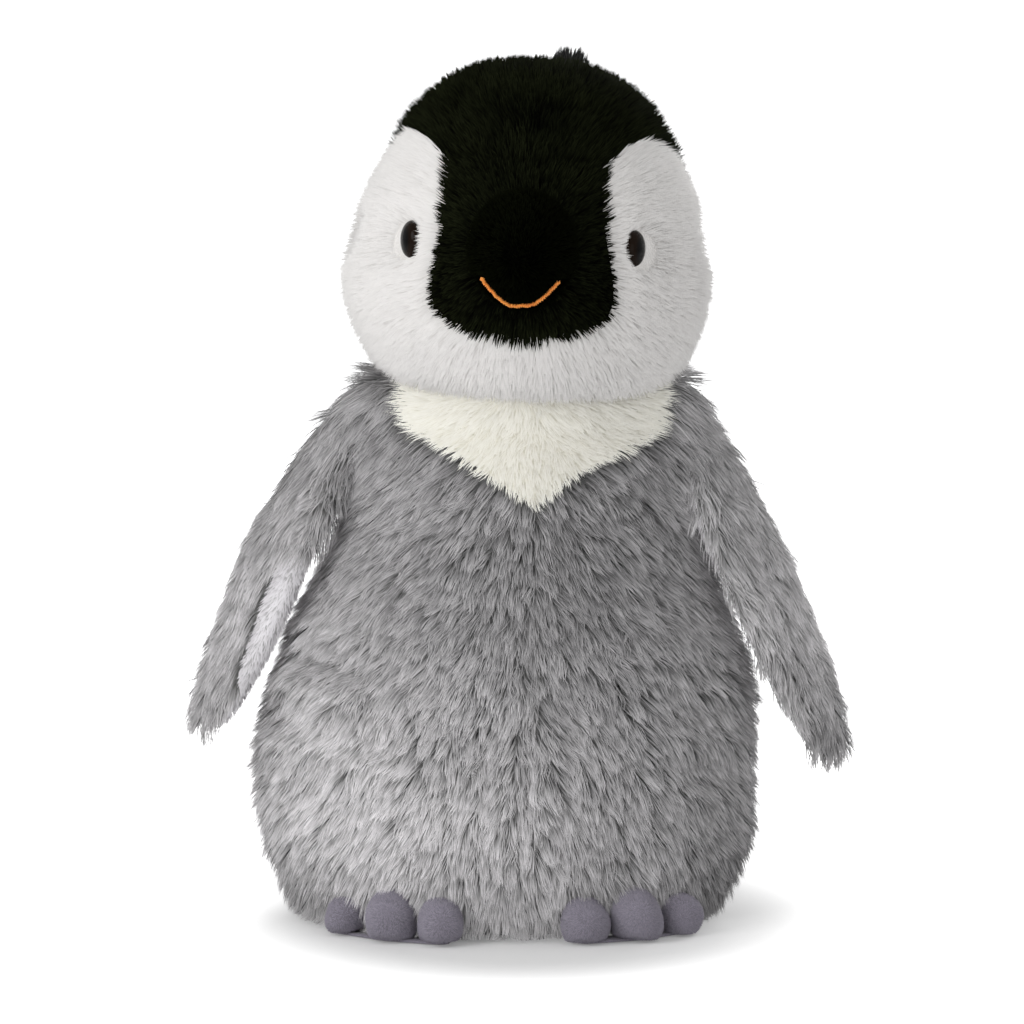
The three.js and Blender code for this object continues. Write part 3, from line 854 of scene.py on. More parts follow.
# How far it moves towards the torso at these distances from its top. A negative distance is outwards.
TUCK_STATIONS = np.array([0.0, 45.0, 75.0, 120.0]) * MM
TUCK_IN = {"left": np.array([4.5, 1.5, 1.5, 3.6]) * MM, "right": np.array([4.5, -1.5, 0.5, 2.0]) * MM}
# How far the lining wraps round the edge by the torso, and the shag round all edges. The lining starts
# this far from the top, and near the top both flippers wrap their shag as the left one does.
LINING_WRAP = {"left": 0.0, "right": 9.0 * MM}
LINING_FROM_TOP = 46 * MM
SHAG_WRAP = {"left": 3.0 * MM, "right": 0.0}
SHAG_NEAR_TOP = 42 * MM

# %% Flipper skins
def node_points(name):
    """The points of one CAD solid."""
    return node_shape(name)[0]


def ball_points(centre, radius, rings=7, turns=12):
    """Points all over a ball."""
    spots = []
    for ring in range(1, rings):
        polar = math.pi * ring / rings
        for turn in range(turns):
            angle = 2 * math.pi * turn / turns
            flat = math.sin(polar)
            spots.append((flat * math.cos(angle), flat * math.sin(angle), math.cos(polar)))
    return np.array(centre) + radius * np.array(spots)


def flipper_ends(side):
    """The middle of the flipper's top and its tip."""
    spots = node_points(f"flipper_outer_{side}")
    top = spots[spots[:, 2] > spots[:, 2].max() - 6 * MM].mean(axis=0)
    return top, spots[spots[:, 2] < spots[:, 2].min() + 4 * MM].mean(axis=0)


def flipper_axes(side):
    """The flipper's top, the way to its tip, the way out of its outer face, and the way across it."""
    top, tip = flipper_ends(side)
    along = unit(tip - top)
    outer, lining = (node_points(f"flipper_{part}_{side}") for part in ("outer", "lining"))
    out = outer.mean(axis=0) - lining.mean(axis=0)
    out = unit(out - along * (out @ along))
    across = np.cross(along, out)
    return top, along, out, across * np.sign(across[0] * SIDES[side])


def slimmed(points, side):
    """Draws the flipper's edges in by the reach of the shag, and tucks it towards the torso."""
    top, along, out, across = flipper_axes(side)
    down, wide = (points - top) @ along, (points - top) @ across
    edge = np.where(wide > 0, wide * OUTER_EDGE_IN, wide * INNER_EDGE_IN[side])
    points = points - across * (edge * ramp(down, 0, SLIM_FROM_TOP))[:, None]
    points = points + along * (np.maximum(down, 0) * LONGER[side])[:, None]
    points[:, 0] -= SIDES[side] * np.interp(down, TUCK_STATIONS, TUCK_IN[side])
    return points


def flipper_finder(side):
    """The lining is the inner face, and it wraps around the edge that faces the torso."""
    top, along, out, across = flipper_axes(side)
    nearest = panel_finder([f"flipper_outer_{side}", f"flipper_lining_{side}"])

    def find(spots):
        down, wide = (spots - top) @ along, (spots - top) @ across
        half = 1.0 * MM - wide[down > SLIM_FROM_TOP].min()
        wrapped = (wide < LINING_WRAP[side] - half) & (down > LINING_FROM_TOP)
        covered = np.where(down < SHAG_NEAR_TOP, SHAG_WRAP["left"], SHAG_WRAP[side])
        return np.where(wrapped, f"flipper_lining_{side}", nearest(spots + np.outer(covered, out)))

    return find


for side, sign in SIDES.items():
    top, tip = flipper_ends(side)
    ball = ball_points(top + np.array([-sign * SHOULDER_IN, 0, -SHOULDER_DOWN]), SHOULDER_BALL)
    nodes = [f"flipper_outer_{side}", f"flipper_lining_{side}", f"flipper_filling_{side}"]
    form = soft_form(f"flipper_form_{side}", nodes, 2.0 * MM, 1.5 * MM, 6, True, ball)
    puff(form, nodes[:2], 1.2 * MM, 3.0, 2.0 * MM)
    set_points(form, slimmed(points_of(form), side))
    looks = {nodes[0]: ("grey_shag", silver_backing), nodes[1]: ("lining_plush", lining_backing)}
    cut_skins(form, nodes[:2], looks, f"flipper_{side}", flipper_finder(side))

# %% Tail skins
TAIL_PANELS = ["tail_top", "tail_underside"]
tail = soft_form("tail_form", TAIL_PANELS, 1.5 * MM, 2.2 * MM, 5, True)
tail_looks = {name: ("grey_shag", silver_backing) for name in TAIL_PANELS}
cut_skins(tail, TAIL_PANELS, tail_looks, "tail")

# %% Beak skins
BEAK_PANELS = ["beak_upper", "beak_lower"]
# Where the beak's front and its root are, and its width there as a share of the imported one.
BEAK_FRONT = -84.0 * MM
BEAK_ROOT = -62.0 * MM
BEAK_AT_FRONT = 0.74
BEAK_AT_ROOT = 1.16


def cone_shaped(points):
    """Widens the beak towards the face and narrows it towards its end."""
    middle = (points.min(axis=0) + points.max(axis=0)) / 2
    widening = ramp(points[:, 1], BEAK_FRONT, BEAK_ROOT)
    scale = BEAK_AT_FRONT + (BEAK_AT_ROOT - BEAK_AT_FRONT) * widening
    points[:, [0, 2]] = middle[[0, 2]] + (points - middle)[:, [0, 2]] * scale[:, None]
    return points


beak = soft_form("beak_form", BEAK_PANELS, 1.2 * MM, 1.2 * MM, 6, True)
set_points(beak, cone_shaped(points_of(beak)))
beak_tree = surface_tree(points_of(beak), [tuple(face.vertices) for face in beak.data.polygons])
beak_looks = {name: ("beak_plush", black_backing) for name in BEAK_PANELS}
cut_skins(beak, BEAK_PANELS, beak_looks, "head")

# %% [markdown]
# Each foot is three small velour balls on one pad. A toe is a bag that is gathered at its root, so it
# is round in front and a little flat below.

# %% Toes
# How far each toe is drawn in; a negative depth makes it bigger.
TOE_DEPTH = {"inner": 0.5 * MM, "middle": -0.5 * MM, "outer": 1.2 * MM}
TOE_LUMP = 0.8 * MM
TOE_LUMP_SIZE = 14 * MM
TOE_LIFT = 0.3 * MM


def whole_surface(thing):
    """The outer surface of a closed form, kept for its pile."""
    thing.data.calc_loop_triangles()
    triangles = np.array([triangle.vertices for triangle in thing.data.loop_triangles])
    return points_of(thing), normals_of(thing), triangles


for side in SIDES:
    for which, depth in TOE_DEPTH.items():
        node = f"toe_{which}_{side}"
        toe = soft_form(f"plush_{node}", [node], 1.1 * MM, depth, 5, True)
        lumps = TOE_LUMP * waves(points_of(toe), TOE_LUMP_SIZE, len(surfaces))
        points = points_of(toe) + normals_of(toe) * lumps[:, None]
        set_points(toe, points - np.array([0.0, 0.0, points[:, 2].min() - TOE_LIFT]))
        surfaces[node] = whole_surface(toe)
        finish_piece(toe, node, toe_velour, "torso")

# %% Soles
PAD_RADIUS = 3.2 * MM
PAD_HEIGHTS = (0.15 * MM, 0.9 * MM)
PAD_TURNS = 12


def box_middle(node):
    """The middle of a node's box."""
    low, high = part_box(node)
    return (Vector(low) + Vector(high)) / 2


for side in SIDES:
    spots = []
    for which in TOE_DEPTH:
        centre = box_middle(f"toe_{which}_{side}")
        for turn in range(PAD_TURNS):
            angle = 2 * math.pi * turn / PAD_TURNS
            x, y = PAD_RADIUS * math.cos(angle), PAD_RADIUS * math.sin(angle)
            spots += [(centre.x + x, centre.y + y, z) for z in PAD_HEIGHTS]
    pad = wrap(make_object(f"pad_sole_{side}", np.array(spots), []))
    finish_piece(pad, f"sole_{side}", toe_velour, "torso")

# %% [markdown]
# The eyes are safety eyes: a glossy dome whose stalk goes through the cloth into a washer inside. A
# dome is one profile turned about the line from the washer to the eye. The soft cheek lets each eye
# turn a little outwards.

# %% Eyes
EYE_RADIUS = 6.6 * MM
EYE_RISE = 3.6 * MM
EYE_PROUD = -0.2 * MM
EYE_RIM = 0.93 * EYE_RADIUS
STALK_RADIUS = 1.8 * MM
EYE_TURN = math.radians(28.0)
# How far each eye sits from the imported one, in metres.
EYE_SHIFT = {"left": Vector((-0.0006, 0.0, -0.0022)), "right": Vector((-0.002, 0.0013, -0.0022))}
EYE_TURNS = 48


def eye_material():
    """Deep brown glossy plastic with a black middle."""
    material, shader, nodes, links = new_material("eye_plastic")
    shader.inputs["Roughness"].default_value = 0.08
    shader.inputs["Coat Weight"].default_value = 0.04
    shader.inputs["Specular IOR Level"].default_value = 0.06
    shader.inputs["Coat Roughness"].default_value = 0.03
    chart = nodes.new("ShaderNodeUVMap")
    chart.uv_map = STRAND_CHART
    split = nodes.new("ShaderNodeSeparateXYZ")
    shade = nodes.new("ShaderNodeValToRGB")
    shade.color_ramp.elements[0].position = 0.62
    shade.color_ramp.elements[0].color = (0.002, 0.002, 0.002, 1.0)
    shade.color_ramp.elements[1].position = 0.9
    shade.color_ramp.elements[1].color = (0.011, 0.006, 0.0035, 1.0)
    links.new(chart.outputs["UV"], split.inputs[0])
    links.new(split.outputs["X"], shade.inputs["Fac"])
    links.new(shade.outputs["Color"], shader.inputs["Base Color"])
    return material


def turned(name, profile, centre, axis, turns=EYE_TURNS):
    """A closed solid turned about an axis. Its profile, of (radius, height), starts and ends on it."""
    turn_to = Vector((0, 0, 1)).rotation_difference(axis).to_matrix()
    points = [centre + turn_to @ Vector((0, 0, profile[0][1]))]
    for radius, height in profile[1:-1]:
        for turn in range(turns):
            angle = 2 * math.pi * turn / turns
            spot = Vector((radius * math.cos(angle), radius * math.sin(angle), height))
            points.append(centre + turn_to @ spot)
    points.append(centre + turn_to @ Vector((0, 0, profile[-1][1])))
    last, rings = len(points) - 1, len(profile) - 2
    faces = []
    for turn in range(turns):
        after = (turn + 1) % turns
        faces.append((0, 1 + turn, 1 + after))
        for ring in range(rings - 1):
            a, b = 1 + ring * turns, 1 + (ring + 1) * turns
            faces.append((a + turn, b + turn, b + after, a + after))
        foot = 1 + (rings - 1) * turns
        faces.append((foot + turn, last, foot + after))
    thing = make_object(name, np.array(points), faces)
    layer = thing.data.uv_layers.new(name=STRAND_CHART)
    for face in thing.data.polygons:
        for loop in face.loop_indices:
            spot = Vector(points[thing.data.loops[loop].vertex_index]) - centre
            along = spot.dot(axis)
            out = (spot - axis * along).length / profile[len(profile) // 2][0]
            across = (face.index // 2 % turns + 0.5) / turns
            layer.data[loop].uv = (min(out, 1.0), across)
    return thing


eye_places = {}
eye_plastic = eye_material()
for side in SIDES:
    washer = box_middle(f"eye_washer_{side}")
    axis = (box_middle(f"eye_{side}") - washer).normalized()
    front = max((Vector(p) - washer).dot(axis) for p in node_points(f"eye_{side}"))
    centre = washer + axis * (front - EYE_RISE + EYE_PROUD) + EYE_SHIFT[side]
    axis.rotate(Euler((0.0, 0.0, SIDES[side] * EYE_TURN)))
    stalk = (centre - washer).length - 0.5 * MM
    arc = np.linspace(0, math.pi / 2, 14)
    dome = [(EYE_RADIUS * math.sin(angle), EYE_RISE * math.cos(angle)) for angle in arc]
    under = [(EYE_RIM, -0.7 * MM), (STALK_RADIUS, -1.0 * MM), (STALK_RADIUS, -stalk), (0.0, -stalk)]
    eye = turned(f"dome_eye_{side}", dome + under, centre, axis)
    finish_piece(eye, f"eye_{side}", eye_plastic, "head")
    eye_places[side] = (np.array(centre), np.array(axis))
    print("eye", side, "is", round(2 * EYE_RADIUS / MM, 1), "mm across")
    washer_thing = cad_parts[f"eye_washer_{side}"]
    washer_thing.data.materials.clear()
    washer_thing.data.materials.append(washer_plastic)

# %% [markdown]
# The smile is a cord of two orange threads, twisted together and sewn along the split of the beak.
# Its line is taken from the middle of the CAD cord, let down a little in the middle, and laid on the
# pile of the beak and the mask.

# %% Smile
THREAD_RADIUS = 0.4 * MM
TWIST_LENGTH = 2.2 * MM
SMILE_STEPS = 120
THREAD_SIDES = 8
SMILE_DROP = 0.8 * MM
SMILE_SAG = 1.9 * MM
SMILE_WAVER = 0.25 * MM
THREAD_TAPER = 48
# How far the cord stands off the skins of the beak and of the mask.
BEAK_LIFT = 2.3 * MM
MASK_LIFT = 4.9 * MM


def cord_middle(node, spots=15):
    """Points along the middle of a thin cord that runs mostly along X."""
    points = node_points(node)
    order = points[np.argsort(points[:, 0])]
    groups = np.array_split(order, spots)
    return np.array([part.mean(axis=0) for part in groups])


def resampled(line, count):
    """The line as so many evenly spaced points, smoothed, and how far along it each one is."""
    walked = np.concatenate([[0], np.cumsum(np.linalg.norm(np.diff(line, axis=0), axis=1))])
    stations = np.linspace(0, walked[-1], count)
    even = np.stack([np.interp(stations, walked, line[:, k]) for k in range(3)], axis=1)
    for _ in range(12):
        even[1:-1] = (even[:-2] + 2 * even[1:-1] + even[2:]) / 4
    return even, stations


def thread(line, stations, phase):
    """The points and faces of one thread that winds around a line."""
    ahead = unit(np.gradient(line, axis=0))
    level = unit(np.cross(ahead, np.array([0.0, -1.0, 0.0])))
    upright = np.cross(level, ahead)
    angle = phase + 2 * math.pi * stations / TWIST_LENGTH
    middle = line + THREAD_RADIUS * (level * np.cos(angle)[:, None] + upright * np.sin(angle)[:, None])
    share = stations / stations[-1]
    taper = THREAD_RADIUS * np.sqrt(np.clip(THREAD_TAPER * share * (1 - share), 0.05, 1))
    points = []
    for k in range(THREAD_SIDES):
        turn = 2 * math.pi * k / THREAD_SIDES
        points.append(middle + taper[:, None] * (level * math.cos(turn) + upright * math.sin(turn)))
    points = np.stack(points, axis=1).reshape(-1, 3)
    faces = []
    for row in range(len(line) - 1):
        for k in range(THREAD_SIDES):
            a, b = row * THREAD_SIDES + k, row * THREAD_SIDES + (k + 1) % THREAD_SIDES
            faces.append((a, b, b + THREAD_SIDES, a + THREAD_SIDES))
    faces.append(tuple(reversed(range(THREAD_SIDES))))
    faces.append(tuple(range(len(points) - THREAD_SIDES, len(points))))
    return points, faces


def laid_on_face(line):
    """Drops the smile a little and lays it on the beak, or on the mask where it runs past the beak."""
    mask_points, _, mask_triangles = surfaces["face_mask"]
    mask_tree = surface_tree(mask_points, mask_triangles.tolist())
    share = (line[:, 0] - line[:, 0].mean()) / (np.ptp(line[:, 0]) / 2)
    line[:, 2] -= SMILE_DROP + SMILE_SAG * (1 - share ** 2)
    line[:, 2] += SMILE_WAVER * np.sin(share * 9 + 1) * (1 - share ** 2)
    ahead = Vector((0.0, 1.0, 0.0))
    for spot in line:
        start = Vector((spot[0], -0.2, spot[2]))
        fronts = []
        for tree, lift in ((beak_tree, BEAK_LIFT), (mask_tree, MASK_LIFT)):
            hit = tree.ray_cast(start, ahead)[0]
            if hit:
                fronts.append(hit.y - lift)
        spot[1] = min(fronts)
    return line


smile_line, smile_stations = resampled(laid_on_face(cord_middle("mouth_piping", 31)), SMILE_STEPS)
points_a, faces_a = thread(smile_line, smile_stations, 0.0)
points_b, faces_b = thread(smile_line, smile_stations, math.pi)
shifted = [tuple(i + len(points_a) for i in face) for face in faces_b]
smile = make_object("smile_cord", np.concatenate([points_a, points_b]), faces_a + shifted)
finish_piece(smile, "mouth_piping", smile_thread, "head")
print("smile is", round(float(smile_stations[-1]) / MM, 1), "mm long")

# %% [markdown]
# A small blank tape is folded in half and caught in a seam, low at the back. It is a strip of thin
# woven cloth, so it is bent along its length and given its own thickness.

# %% Care label
LABEL_WIDTH = 10.0 * MM
LABEL_LENGTH = 26.0 * MM
LABEL_THICK = 0.35 * MM
LABEL_TUCK = 12.5 * MM
LABEL_WAY = Vector((-0.6, 0.8, 0.0)).normalized()
LABEL_BULGE = 0.9 * MM
LABEL_GAP = 0.35 * MM
LABEL_DROOP = 0.9 * MM
FOLD_REACH = 1.5 * MM


def care_label():
    """A strip that runs out from the seam, turns back at half its length, and droops."""
    out = LABEL_WAY
    root = box_middle("care_label") - out * LABEL_TUCK
    over = Vector((0, 0, 1))
    flat = out.cross(over)
    half = LABEL_LENGTH / 2
    rows, columns, points = 26, 6, []
    for row in range(rows):
        walked = LABEL_LENGTH * row / (rows - 1)
        reach = half - abs(walked - half)
        gap = LABEL_BULGE * math.sin(math.pi * min(1.0, reach / half * 0.5 + 0.5)) + LABEL_GAP
        side = 1 if walked > half else -1
        turn = min(1.0, abs(walked - half) / FOLD_REACH)
        for column in range(columns):
            across = LABEL_WIDTH * (column / (columns - 1) - 0.5)
            droop = -LABEL_DROOP * (reach / half) ** 2
            points.append(root + out * reach + flat * (side * gap * turn + droop) + over * across)
    faces = []
    for row in range(rows - 1):
        for column in range(columns - 1):
            a = row * columns + column
            faces.append((a, a + 1, a + columns + 1, a + columns))
    label = make_object("folded_label", np.array(points), faces)
    solid = label.modifiers.new("tape_thickness", "SOLIDIFY")
    solid.thickness = LABEL_THICK
    bake_modifiers(label)
    finish_piece(label, "care_label", label_tape, "torso")
    print("label tape is", round(LABEL_WIDTH / MM), "by", round(LABEL_LENGTH / MM), "mm flat")


care_label()

# %% [markdown]
# Inside the skins is loose filling, and low in the torso a bag of beans. They are lumpy closed forms
# that fill the room that the CAD model leaves for them.

# %% Filling and beans
FILLING_LUMP = 0.5 * MM


def stuffing(node, body, material, lump, seed, voxel=2.5 * MM, depth=3.2 * MM):
    """A lumpy filling around one node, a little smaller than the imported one."""
    form = soft_form(f"stuffing_{node}", [node], voxel, depth, 5)
    rough = waves(points_of(form), lump, seed) * FILLING_LUMP
    set_points(form, points_of(form) + normals_of(form) * rough[:, None])
    finish_piece(form, node, material, body)


stuffing("body_filling", "torso", filling_fibre, 12 * MM, 1)
stuffing("head_filling", "head", filling_fibre, 12 * MM, 2)
stuffing("bean_pouch", "torso", bean_cloth, 4 * MM, 3, 2.0 * MM, 1.0 * MM)
for seed, side in enumerate(SIDES, 4):
    node, body = f"flipper_filling_{side}", f"flipper_{side}"
    stuffing(node, body, filling_fibre, 8 * MM, seed, 1.0 * MM, 0.8 * MM)

# %% [markdown]
# The pile is real geometry. Every strand is a thin curved blade, wide at the root and pointed at the
# tip. It leaves the cloth steeply, leans over with the brushing and sags a little. Strands gather into
# fine wisps, and the wisps into locks. The strands' chart keeps each strand's tone and height, and the
# pile material reads its colour from that chart. Real fibres let much of the light through, and these
# blades can't, so they cast no shadow on each other.

# %% Scatter roots on a skin
def scatter(name, density, dice):
    """Evenly random roots on a panel, at so many to the square millimetre, and the normals there."""
    points, normals, triangles = surfaces[name]
    a, b, c = (points[triangles[:, i]] for i in range(3))
    areas = np.linalg.norm(np.cross(b - a, c - a), axis=1) / 2
    count = int(areas.sum() / MM ** 2 * density)
    pick = dice.choice(len(areas), size=count, p=areas / areas.sum())
    u, v = dice.random(count), dice.random(count)
    flip = u + v > 1
    u[flip], v[flip] = 1 - u[flip], 1 - v[flip]
    weights = np.stack([1 - u - v, u, v], axis=1)[:, :, None]
    roots = (points[triangles[pick]] * weights).sum(axis=1)
    return roots, unit((normals[triangles[pick]] * weights).sum(axis=1))


# %% Bend the strands
def strand_curves(roots, out, along, length, style, dice):
    """Points along each strand, from root to tip."""
    count = len(roots)
    along = along + style["stray"] * dice.normal(size=(count, 3))
    along = unit(along - out * (along * out).sum(axis=1, keepdims=True))
    laid = 1 - style["flat_top"] * ramp(out[:, 2:], 0.1, 0.7)
    low = laid * style["root_lift"] + style["lift_spread"] * dice.normal(size=(count, 1))
    high = laid * style["tip_lift"] + style["lift_spread"] * dice.normal(size=(count, 1))
    first = np.cos(low) * along + np.sin(low) * out
    last = np.cos(high) * along + np.sin(high) * out
    steps = np.linspace(0, 1, style["steps"] + 1)
    rows = [roots + length[:, None] * (first * (t - t * t / 2) + last * (t * t / 2)) for t in steps]
    curves = np.stack(rows, axis=1)
    curves[:, :, 2] -= style["sag"] * length[:, None] * (steps ** 2)[None, :]
    return curves, steps


def gather(curves, steps, share, strength, dice):
    """Pulls strands towards the nearest of a few chosen ones; gives the number of each one's choice."""
    roots = curves[:, 0]
    picked = dice.choice(len(roots), size=max(1, int(len(roots) * share)), replace=False)
    tree = KDTree(len(picked))
    for i, index in enumerate(picked):
        tree.insert(roots[index], i)
    tree.balance()
    owner = np.array([tree.find(root)[1] for root in roots])
    pull = strength * (steps ** 1.4)[None, :, None] * dice.uniform(0.6, 1.1, (len(roots), 1, 1))
    curves += (curves[picked][owner] - curves) * pull
    return owner


# %% Make blades of them
def strand_normals(side, tangent, out, softness):
    """Shading normals between the blade's own and the skin's, so that the pile is lit softly."""
    own = unit(np.cross(side, tangent))
    own *= np.sign((own * out[:, None, :]).sum(axis=2, keepdims=True) + 1e-9)
    return unit(softness * out[:, None, :] + (1 - softness) * own)


def blades(name, curves, out, steps, tone, style, dice):
    """One mesh of tapering blades. Each has two points on every step, and one at its tip."""
    count, rows = curves.shape[0], curves.shape[1]
    tangent = np.gradient(curves, axis=1)
    facing = out[:, None, :] + style["twist"] * dice.normal(size=(count, 1, 3))
    side = unit(np.cross(tangent, facing))
    taper = (1 - steps ** 2.2)[None, :, None]
    width = style["width"] * dice.uniform(0.7, 1.3, (count, 1, 1)) * taper / 2
    left, right = curves - side * width, curves + side * width
    body = np.stack([left[:, :-1], right[:, :-1]], axis=2).reshape(count, -1, 3)
    points = np.concatenate([body, curves[:, -1:]], axis=1)
    per = points.shape[1]
    base = (np.arange(count) * per)[:, None]
    quads = np.concatenate([[2 * k, 2 * k + 1, 2 * k + 3, 2 * k + 2] for k in range(rows - 2)])
    tip = np.array([2 * rows - 4, 2 * rows - 3, 2 * rows - 2])
    loops = (base + np.concatenate([quads, tip])[None]).reshape(-1).astype(np.int32)
    sizes = np.tile(np.array([4] * (rows - 2) + [3]), count)
    mesh = bpy.data.meshes.new(name)
    mesh.vertices.add(count * per)
    mesh.vertices.foreach_set("co", points.reshape(-1))
    mesh.loops.add(loops.size)
    mesh.loops.foreach_set("vertex_index", loops)
    mesh.polygons.add(len(sizes))
    mesh.polygons.foreach_set("loop_start", (np.cumsum(sizes) - sizes).astype(np.int32))
    mesh.update(calc_edges=True)
    mesh.polygons.foreach_set("use_smooth", np.ones(len(sizes), dtype=bool))
    height = np.tile(np.concatenate([np.repeat(steps[:-1], 2), [1.0]]) * 0.99 + 0.005, (count, 1))
    edge = np.concatenate([np.tile([-1.0, 1.0], rows - 1), [0.0]])
    chart = np.stack([tone[:, None] + 0.004 * edge[None], height], axis=2).reshape(-1, 2)
    layer = mesh.uv_layers.new(name=STRAND_CHART)
    layer.data.foreach_set("uv", chart[loops].reshape(-1))
    shade = strand_normals(side, tangent, out, style["softness"])
    shade = np.concatenate([np.repeat(shade[:, :-1], 2, axis=1), shade[:, -1:]], axis=1).reshape(-1, 3)
    mesh.normals_split_custom_set_from_vertices(shade)
    print(name, "has", count, "strands and", int((sizes - 2).sum()), "triangles")
    return show(bpy.data.objects.new(name, mesh))


# %% Where the pile is paler or darker, with painted light and shade
# Each spot has its place and its reach, in mm, and how much tone it adds. The pale spots low on the left
# and the front of the belly are painted light, where the lamps and the floor's bounce fall, and the others
# make the flippers paler. The dark spots at the hem are painted shade by the floor, and the others make
# the chest and the face darker.
PAINTED_LIGHT_AND_PALE_SPOTS = (
    ((-58, -45, 42), 46, 0.55),
    ((10, -68, 40), 40, 0.2),
    ((-85, -10, 110), 32, 0.3),
    ((88, -10, 110), 32, 0.35),
)
PAINTED_SHADE_AND_DARK_SPOTS = (
    ((8, -60, 125), 46, -0.2),
    ((-72, -38, 8), 24, -0.3),
    ((72, -22, 20), 20, -0.3),
    ((0, -74, 232), 22, -0.22),
    ((3, -40, 272), 9, -0.15),
)


def tone_with_painted_light_and_shade(points):
    """Paler on one side and the front of the belly, which is painted light, and on the flippers; darker at
    the hem, which is painted shade, and on the chest and the face.
    """
    extra = np.zeros(len(points))
    for middle, reach, amount in PAINTED_LIGHT_AND_PALE_SPOTS + PAINTED_SHADE_AND_DARK_SPOTS:
        extra += amount * nearness(points, np.array(middle) * MM, reach * MM)
    return extra


# %% Grow the pile of one panel
def grow(panel, body, material, style, flow, seed, trim=None, name=None):
    """The pile of one panel. Trim gives each root's share of the full length; under a tenth is bare."""
    dice = np.random.default_rng(seed)
    roots, out = scatter(panel, style["density"], dice)
    share = trim(roots, out) if trim else np.ones(len(roots))
    kept = share > 0.1
    roots, out, share = roots[kept], out[kept], share[kept]
    length = style["length"] * share * (1 + style["uneven"] * dice.uniform(-1, 1, len(roots)))
    curves, steps = strand_curves(roots, out, flow(roots, out), length, style, dice)
    tone = PLAIN_TONE + style["strand_tone"] * dice.normal(size=len(roots))
    for share_of_guides, strength, lock_tone in style["locks"]:
        owner = gather(curves, steps, share_of_guides, strength, dice)
        tone += lock_tone * dice.normal(size=owner.max() + 1)[owner]
    # The spots add painted light and painted shade to the tone.
    tone += style["patch_tone"] * waves(roots, style["patch"], seed + 5) + tone_with_painted_light_and_shade(roots)
    tone = np.clip(tone / TONE_RANGE, 0.02, 0.98)
    curves[:, :, 2] = np.maximum(curves[:, :, 2], FLOOR_GAP)
    fur = blades(name or f"pile_{panel}", curves, out, steps, tone, style, dice)
    fur.data.materials.append(material)
    fur.visible_shadow = False
    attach(fur, body)


# %% [markdown]
# Brushing gives each panel its own flow. The belly is brushed down and outwards, and its pile fans out
# from the point of the bib. The face is brushed away from the beak, the cheeks away from the eyes, and
# a flipper from its shoulder to its tip.

# %% Turn a flow on a skin
def across_skin(way, out):
    """The part of a direction that lies in the skin."""
    return unit(way - out * (way * out).sum(axis=1, keepdims=True))


def swirled(way, points, out, angle, scale, seed):
    """Turns a direction within the skin by smooth noise."""
    way = across_skin(way, out)
    turn = angle * waves(points, scale, seed)[:, None]
    return way * np.cos(turn) + np.cross(out, way) * np.sin(turn)


# %% Body flows
BELLY_SPREAD = 0.24
BELLY_MIDDLE = 2 * MM
BIB_TOP = np.array([2.0, -30.0, 190.0]) * MM


def body_flow(points, out):
    """Down, a little outwards on the belly, and away from the bib's point."""
    way = np.zeros_like(points)
    way[:, 2] = -1.0
    way[:, 0] = BELLY_SPREAD * np.tanh((points[:, 0] - BELLY_MIDDLE) / (28 * MM)) * (out[:, 1] < 0.3)
    near = nearness(points, BIB_POINT, 38 * MM)[:, None]
    return swirled(way + 0.7 * near * unit(points - BIB_POINT), points, out, 0.16, 34 * MM, 11)


def bib_flow(points, out):
    """Away from the throat."""
    return swirled(unit(points - BIB_TOP), points, out, 0.3, 20 * MM, 12)


# %% Head flows
BEAK_MIDDLE = np.array([0.0, -75.0, 232.0]) * MM
EYE_REACH = 9 * MM


def head_flow(points, out):
    """Away from the beak, and down at the back of the head."""
    way = unit(points - BEAK_MIDDLE)
    way[:, 2] -= 1.2 * ramp(points[:, 1], -5 * MM, 40 * MM)
    return swirled(way, points, out, 0.25, 26 * MM, 13)


def cheek_flow(points, out):
    """Away from the beak and the eyes, and down."""
    way = unit(points - BEAK_MIDDLE) + np.array([0.0, 0.3, -0.45])
    for centre, _ in eye_places.values():
        near = nearness(points, centre, EYE_REACH)[:, None]
        way = way + 1.6 * near * unit(points - centre)
    return swirled(way, points, out, 0.25, 24 * MM, 14)


# %% Flipper and tail flows
def flipper_flow(side):
    """From the shoulder to the tip, and a little out to the edges."""
    top, tip = flipper_ends(side)
    axis = unit(tip - top)

    def flow(points, out):
        away = points - (top + ((points - top) @ axis)[:, None] * axis)
        return swirled(axis + 0.12 * unit(away), points, out, 0.2, 26 * MM, 15)

    return flow


def tail_flow(points, out):
    """Back and down."""
    return swirled(np.tile([0.0, 1.0, -0.5], (len(points), 1)), points, out, 0.3, 20 * MM, 16)


# %% [markdown]
# Pile is clipped shorter where it would hide a shape: on top of the head, by the eyes, beside the mask's
# edge and next to the smile. It is left out where another piece covers the skin. It is longest on the
# shoulders.

# %% Trim the body
# Heights between which the pile grows longer on the shoulders, and out of the hem.
SHOULDER_HEIGHTS = (130 * MM, 165 * MM)
SHOULDER_WIDTHS = (20 * MM, 45 * MM)
HEM_PILE_HEIGHTS = (2 * MM, 14 * MM)
TORSO_TOP = 178 * MM
NECK_RADIUS = 30 * MM


def trim_body(points, out):
    """Longer on the shoulders, shorter by the floor, and none on the top under the head."""
    height, radius = points[:, 2], np.linalg.norm(points[:, :2], axis=1)
    share = 1.0 + 0.35 * ramp(height, *SHOULDER_HEIGHTS) * ramp(np.abs(points[:, 0]), *SHOULDER_WIDTHS)
    share *= 0.75 + 0.25 * ramp(height, *HEM_PILE_HEIGHTS)
    share *= 1 - 0.4 * ramp(points[:, 1], 5 * MM, 30 * MM) * ramp(height, 166 * MM, 176 * MM)
    share[(height > TORSO_TOP) & (out[:, 2] > 0.9) & (radius < NECK_RADIUS)] = 0
    return share


